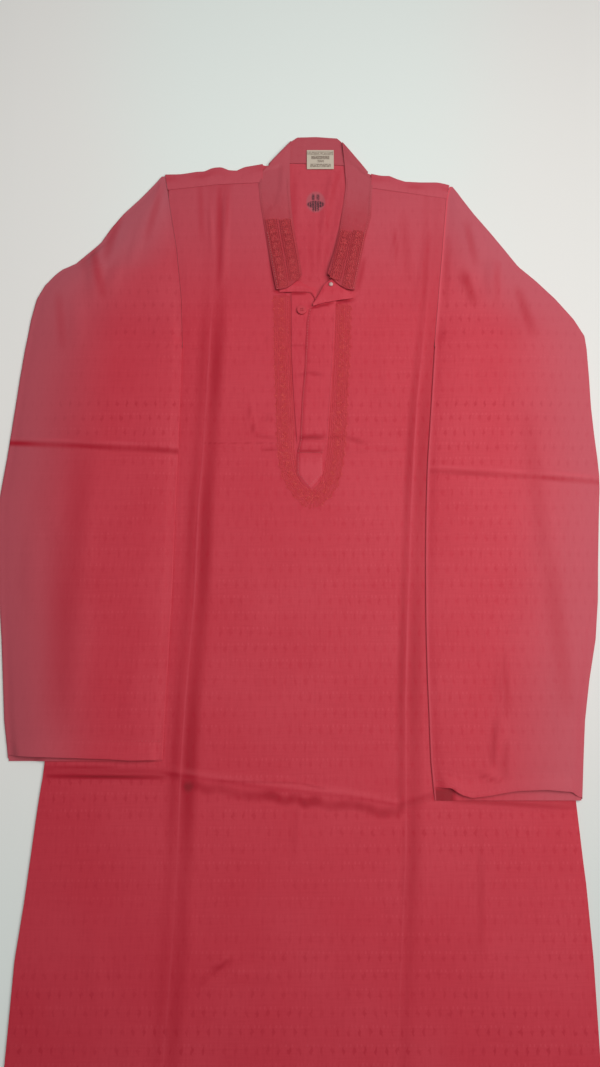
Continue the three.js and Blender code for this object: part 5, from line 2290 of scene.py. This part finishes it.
@dataclass
class Embroidery:
    """The worked border round the slit and the worked ends of the collar."""

    needle: Needle
    seed: int = 11
    border_half: float = 9.6
    lane_half: float = 7.2
    rise: float = 0.35

    def __post_init__(self) -> None:
        """Seeds the small differences between stitches."""
        self.chance = np.random.default_rng(self.seed)

    def stray(self, amount: float) -> float:
        """A small difference, up to an amount either way."""
        return float(self.chance.uniform(-amount, amount))

    def tone(self, light_share: float) -> float:
        """Tone of a thread: mostly dark, now and then light.

        Args:
            light_share: The share of threads that are light.

        Returns:
            The tone, from 0 to 1.
        """
        if self.chance.random() < light_share:
            return float(self.chance.uniform(0.6, 1.0))
        return float(self.chance.uniform(0.0, 0.3))

    def spray(
        self,
        route: Route,
        travel: float,
        offset: float,
        turn: float,
        height: Callable[[float, float], float],
        length: float,
        width: float,
        light_share: float,
    ) -> Stitch:
        """Places one stitch beside a route.

        Args:
            route: The middle of the border.
            travel: Distance along it.
            offset: Distance to its left.
            turn: Direction against the route, in radians.
            height: Gives the top of the cloth.
            length: Length of the stitch.
            width: Width of the stitch.
            light_share: How often the thread is light.

        Returns:
            The stitch.
        """
        x, up, angle = route.at(min(max(travel, 0.0), route.length))
        x += -math.sin(angle) * offset + self.stray(0.25)
        up += math.cos(angle) * offset + self.stray(0.25)
        tone = self.tone(light_share)
        return Stitch(x, up, height(x, up) + 0.1, angle + turn + self.stray(0.12), length, width, tone)

    def border(
        self,
        route: Route,
        half: float,
        height: Callable[[float, float], float],
        pitch: float = 11.0,
        is_fringed: bool = True,
    ) -> list[Stitch]:
        """Works a border of flowers, leaves and small scallops along a route.

        Args:
            route: The middle of the border.
            half: Half of its width; its inner edge is on the left of the route.
            height: Gives the top of the cloth.
            pitch: Distance between flowers.
            is_fringed: Whether small pointed scallops stand out from its outer edge.

        Returns:
            The stitches.
        """
        made = []

        def work(travel: float, offset: float, turn: float, *rest: float) -> None:
            """Adds one stitch; the rest are its length, its width and how often it is light."""
            made.append(self.spray(route, travel, offset, turn, height, *rest))

        for travel in np.arange(0.7, route.length, 1.3):
            work(travel, half - 0.9, math.pi / 2, 1.7, 0.8, 0.03)
            work(travel, half - 3.0, 0.75, 1.9, 0.7, 0.06)
        for travel in np.arange(0.4, route.length, 1.6):
            for offset in np.arange(1.4 - half, half - 4.2, 2.1):
                work(travel, offset, 0.9, 2.4, 0.8, 0.05)
        count = max(1, round(route.length / pitch))
        for k in range(count):
            middle = (k + 0.5) * route.length / count
            for petal in range(8):
                angle = petal * math.pi / 4
                away = 2.1 * math.sin(angle) - 0.5
                work(middle + 2.1 * math.cos(angle), away, angle, 2.4, 0.95, 0.3)
            work(middle, -0.5, 0.0, 1.1, 1.1, 0.8)
            joint = middle + pitch / 2
            for side in (-1, 1):
                for reach in (1.2, 2.6, 4.0):
                    work(joint - 0.5 * reach, -0.5 + side * reach * 0.8, side * 0.9, 2.0, 0.75, 0.25)
            for _ in range(5):
                travel = middle + self.stray(pitch / 2)
                work(travel, self.stray(half - 1.5), self.stray(1.5), 1.1, 0.6, 0.6)
            if not is_fringed:
                continue
            for step in range(7):
                swing = math.pi * step / 6
                travel = middle + 0.42 * pitch * math.cos(swing)
                away = -half + 3.0 - 2.6 * math.sin(swing)
                work(travel, away, swing + math.pi / 2, 1.8, 0.7, 0.12)
            for spread in (-0.5, 0.0, 0.5):
                away = -half - 1.0 + 1.2 * abs(spread)
                work(middle + 3.0 * spread, away, math.pi / 2 + spread, 2.0, 0.75, 0.2)
        return made

    def build(
        self,
        front: FrontPanel,
        border_thread: bpy.types.Material,
        collar_thread: bpy.types.Material,
    ) -> list[bpy.types.Object]:
        """Works all the embroidery.

        Args:
            front: The panel that the border lies on.
            border_thread: The thread round the slit.
            collar_thread: The thread of the collar ends.

        Returns:
            The objects.
        """
        outer = Route(Placket.BORDER_OUTER)
        inner = Route(Placket.BORDER_INNER)
        middle = []
        for share in np.linspace(0.0, 1.0, 40):
            ends = [line.at(share * line.length)[:2] for line in (outer, inner)]
            middle.append(tuple(np.mean(ends, axis=0)))
        stitches = self.border(Route(middle), self.border_half, front.top)
        border = self.needle.sew("placket_embroidery", stitches, self.rise)
        declare(border, [], border_thread)
        made = [border]
        for arm, high in ((Arm.RIGHT, 954.0), (Arm.LEFT, 939.0)):
            stitches = []
            for share in (0.27, 0.73):
                lane = Route(Collar.lane(arm, share, high))
                stitches.extend(self.border(lane, self.lane_half, Collar.top, 9.0, is_fringed=False))
            piece = self.needle.sew(f"collar_embroidery_{arm.value}", stitches, self.rise)
            declare(piece, [], collar_thread)
            made.append(piece)
        return made


@dataclass
class Stitching:
    """The machine sewing of hems, collar and placket: length, pitch and width of a stitch."""

    needle: Needle
    at_hem: tuple[float, float, float] = (2.3, 3.4, 0.4)
    at_placket: tuple[float, float, float] = (2.0, 3.2, 0.4)
    at_bar: tuple[float, float, float] = (2.0, 2.8, 0.5)
    at_collar: tuple[float, float, float] = (2.0, 3.0, 0.4)
    at_worked_edge: tuple[float, float, float] = (2.0, 3.0, 0.45)
    hem_ends: tuple[float, float] = (-283.0, 285.0)
    cuff_depth: float = 17.0
    cuff_inset: float = 3.0

    def build(
        self,
        front: FrontPanel,
        sleeves: Sequence[Sleeve],
        material: bpy.types.Material,
    ) -> bpy.types.Object:
        """Sews every row that shows.

        Args:
            front: The front panel.
            sleeves: The two sleeves.
            material: The thread.

        Returns:
            The object.
        """
        made = []
        hem = [(float(x), front.hem_depth) for x in np.linspace(*self.hem_ends, 90)]
        made += Route(hem).running(front.top, *self.at_hem, 0.15)
        for sleeve in sleeves:
            up = sleeve.table[0].up + self.cuff_depth
            inner, outer = sleeve.edges(up)
            across = np.linspace(inner + self.cuff_inset, outer - self.cuff_inset, 40)
            cuff = [(sleeve.sign * float(x), up) for x in across]
            made += Route(cuff).running(sleeve.upper_top, *self.at_hem, 0.15)
        beside = UPPER_PLACKET[3:9]
        right_edge = [(row.right + 1.6, row.up) for row in beside]
        left_edge = [(row.left - 1.6, row.up) for row in beside]
        placket_top = LAYERS.over_front + LAYERS.placket_wall / 2 + 0.3 + 0.2

        def on_placket(x: float, up: float) -> float:
            """Height of the top of the upper band, the same all over."""
            return placket_top

        tip = [(-1.8, 679.0), (-1.8, 656.5), (10.2, 643.4), (22.4, 656.5), (22.8, 679.0)]
        # The right edge's thread is lighter (0.55), a painted highlight against the shade of the band's
        # raised edge.
        for line, tone in ((right_edge, 0.55), (left_edge, 0.0), (tip, 0.35)):
            made += Route(line).running(on_placket, *self.at_placket, tone)
        for up in Placket.BARS:
            made += Route([(-0.5, up), (24.0, up)]).running(on_placket, *self.at_bar, 0.1)
        for arm in Arm:
            for share in (0.07, 0.93):
                plain = Route(Collar.lane(arm, share, 1006.0))
                made += plain.running(Collar.top, *self.at_collar, 0.12)
            worked = Route(Collar.lane(arm, 0.06, 938.0))
            made += worked.running(Collar.top, *self.at_worked_edge, 0.6)
        piece = self.needle.sew("machine_stitching", made, 0.45)
        declare(piece, [], material)
        return piece


@dataclass
class Studio:
    """The floor, the soft light and the camera."""

    floor_half: float = 4.0
    camera_place: tuple[float, float, float] = (0.0, -0.0867, 0.8434)
    camera_tilt: float = 10.0
    lens: float = 27.16

    def build_floor(self) -> bpy.types.Object:
        """Lays a pale floor with warm patches, its colour painted brighter toward -X and darker toward +X.

        Returns:
            The floor.
        """
        deselect()
        bpy.ops.mesh.primitive_plane_add(size=2 * self.floor_half, location=(0, 0, -0.0002))
        floor = bpy.context.active_object
        floor.name = "pale_floor"
        finish = Finish("pale_floor")
        tree = finish.tree
        place = tree.node("ShaderNodeTexCoord").outputs["Object"]
        parts = tree.split(place)
        clouds = tree.line(tree.noise(place, 2.5, 2.0), 0.2, -0.1)
        aside = tree.math("ADD", tree.math("ABSOLUTE", parts[0]), clouds)
        warm = tree.times(tree.between(aside, 0.1, 0.3), tree.between(parts[1], -0.4, -0.1))
        colour = tree.mix(warm, (0.69, 0.735, 0.70, 1), (0.715, 0.70, 0.67, 1))
        # Painted light: the colour is scaled from 1.19 toward -X to 0.91 toward +X, and up a little toward
        # +Y.
        across = tree.ramp(parts[0], (-0.33, 0.33), (1.19, 0.91))
        painted_light_along = tree.ramp(parts[1], (-0.3, 0.55), (0.98, 1.03))
        floor_with_painted_light = tree.node("ShaderNodeVectorMath", operation="SCALE")
        tree.put(colour, floor_with_painted_light.inputs[0])
        tree.fill(floor_with_painted_light, Scale=tree.times(across, painted_light_along))
        finish.set(Base_Color=floor_with_painted_light.outputs[0], Roughness=0.6)
        floor.data.materials.append(finish.material)
        return floor

    def area_light(
        self,
        name: str,
        place: tuple[float, float, float],
        target: tuple[float, float, float],
        size: float,
        power: float,
        colour: tuple[float, float, float],
    ) -> None:
        """Hangs one square soft light.

        Args:
            name: Its name.
            place: Where it hangs.
            target: What it points at.
            size: Its side.
            power: Its power in watts.
            colour: Its colour.
        """
        light = bpy.data.lights.new(name, "AREA")
        light.size = size
        light.energy = power
        light.color = colour
        lamp = bpy.data.objects.new(name, light)
        lamp.location = place
        aim = Vector(target) - Vector(place)
        lamp.rotation_euler = aim.to_track_quat("-Z", "Y").to_euler()
        bpy.context.scene.collection.objects.link(lamp)

    def build_lights(self) -> None:
        """Hangs the lights and sets the soft surroundings."""
        self.area_light("window", (0.58, 0.26, 1.13), (0.02, 0.24, 0), 1.2, 18.4, (1.0, 0.99, 0.98))
        self.area_light("ceiling", (-0.2, 0.1, 2.2), (0, 0, 0), 1.2, 1.7, (0.98, 1.0, 0.99))
        world = bpy.data.worlds.new("soft_room")
        world.use_nodes = True
        background = world.node_tree.nodes["Background"]
        background.inputs["Color"].default_value = (0.86, 0.9, 0.92, 1)
        background.inputs["Strength"].default_value = 0.21
        bpy.context.scene.world = world
        bpy.context.scene.view_settings.view_transform = "Standard"

    def build_camera(self) -> None:
        """Sets the camera where the photograph was taken from."""
        camera = bpy.data.cameras.new("photo_camera")
        camera.lens = self.lens
        camera.clip_start = 0.01
        eye = bpy.data.objects.new("photo_camera", camera)
        eye.location = self.camera_place
        eye.rotation_euler = (math.radians(self.camera_tilt), 0.0, 0.0)
        bpy.context.scene.collection.objects.link(eye)
        bpy.context.scene.camera = eye


def main() -> None:
    """Builds the kurta and its studio."""
    logging.basicConfig(level=logging.INFO, format="%(name)s: %(message)s")
    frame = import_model()
    studio = Studio()
    studio.build_camera()
    studio.build_floor()
    studio.build_lights()
    effects = Effects()
    cloth = KurtaCloth("kurta_cloth").make(effects)
    back_cloth = KurtaCloth("back_cloth", is_marked=True).make(effects)
    collar_cloth = KurtaCloth("collar_cloth", body=(0.385, 0.029, 0.042, 1), figure=0.45).make(effects)
    border_thread = Thread("border_thread", (0.51, 0.018, 0.028, 1), (0.72, 0.085, 0.070, 1), 0.5).make()
    collar_thread = Thread("collar_thread", (0.56, 0.032, 0.046, 1), (0.64, 0.080, 0.082, 1), 0.5).make()
    sewing_thread = Thread("sewing_thread", (0.40, 0.02, 0.035, 1), (0.76, 0.36, 0.34, 1)).make()
    front = FrontPanel()
    front.build(cloth)
    BackPanel().build(back_cloth)
    sleeves = [Sleeve.right(), Sleeve.left()]
    for sleeve in sleeves:
        sleeve.build(cloth)
    Collar().build(collar_cloth)
    placket = Placket()
    placket.build_under(cloth)
    placket.build_upper(cloth)
    on_placket = LAYERS.over_front
    placket.build_corner(Arm.RIGHT, CORNER_RIGHT, lambda x: np.full_like(x, on_placket), cloth)
    placket.build_corner(
        Arm.LEFT,
        CORNER_LEFT,
        lambda x: LAYERS.over_placket - (LAYERS.over_placket - on_placket) * smooth((x - 44.0) / 14.0),
        cloth,
    )
    Label().build(LabelCloth().make(effects))
    needle = Needle.threaded()
    Embroidery(needle).build(front, border_thread, collar_thread)
    Stitching(needle).build(front, sleeves, sewing_thread)
    pearl = ButtonResin("pearl_button", (0.46, 0.25, 0.24, 1), (0.60, 0.42, 0.39, 1), 0.35).make()
    red = ButtonResin("red_button", (0.48, 0.026, 0.043, 1), (0.51, 0.031, 0.050, 1), 0.65).make()
    for node, material in (("collar_button", pearl), ("placket_button", red)):
        mesh = frame["nodes"][node].data
        mesh.materials.clear()
        mesh.materials.append(material)


if __name__ == "__main__":
    main()
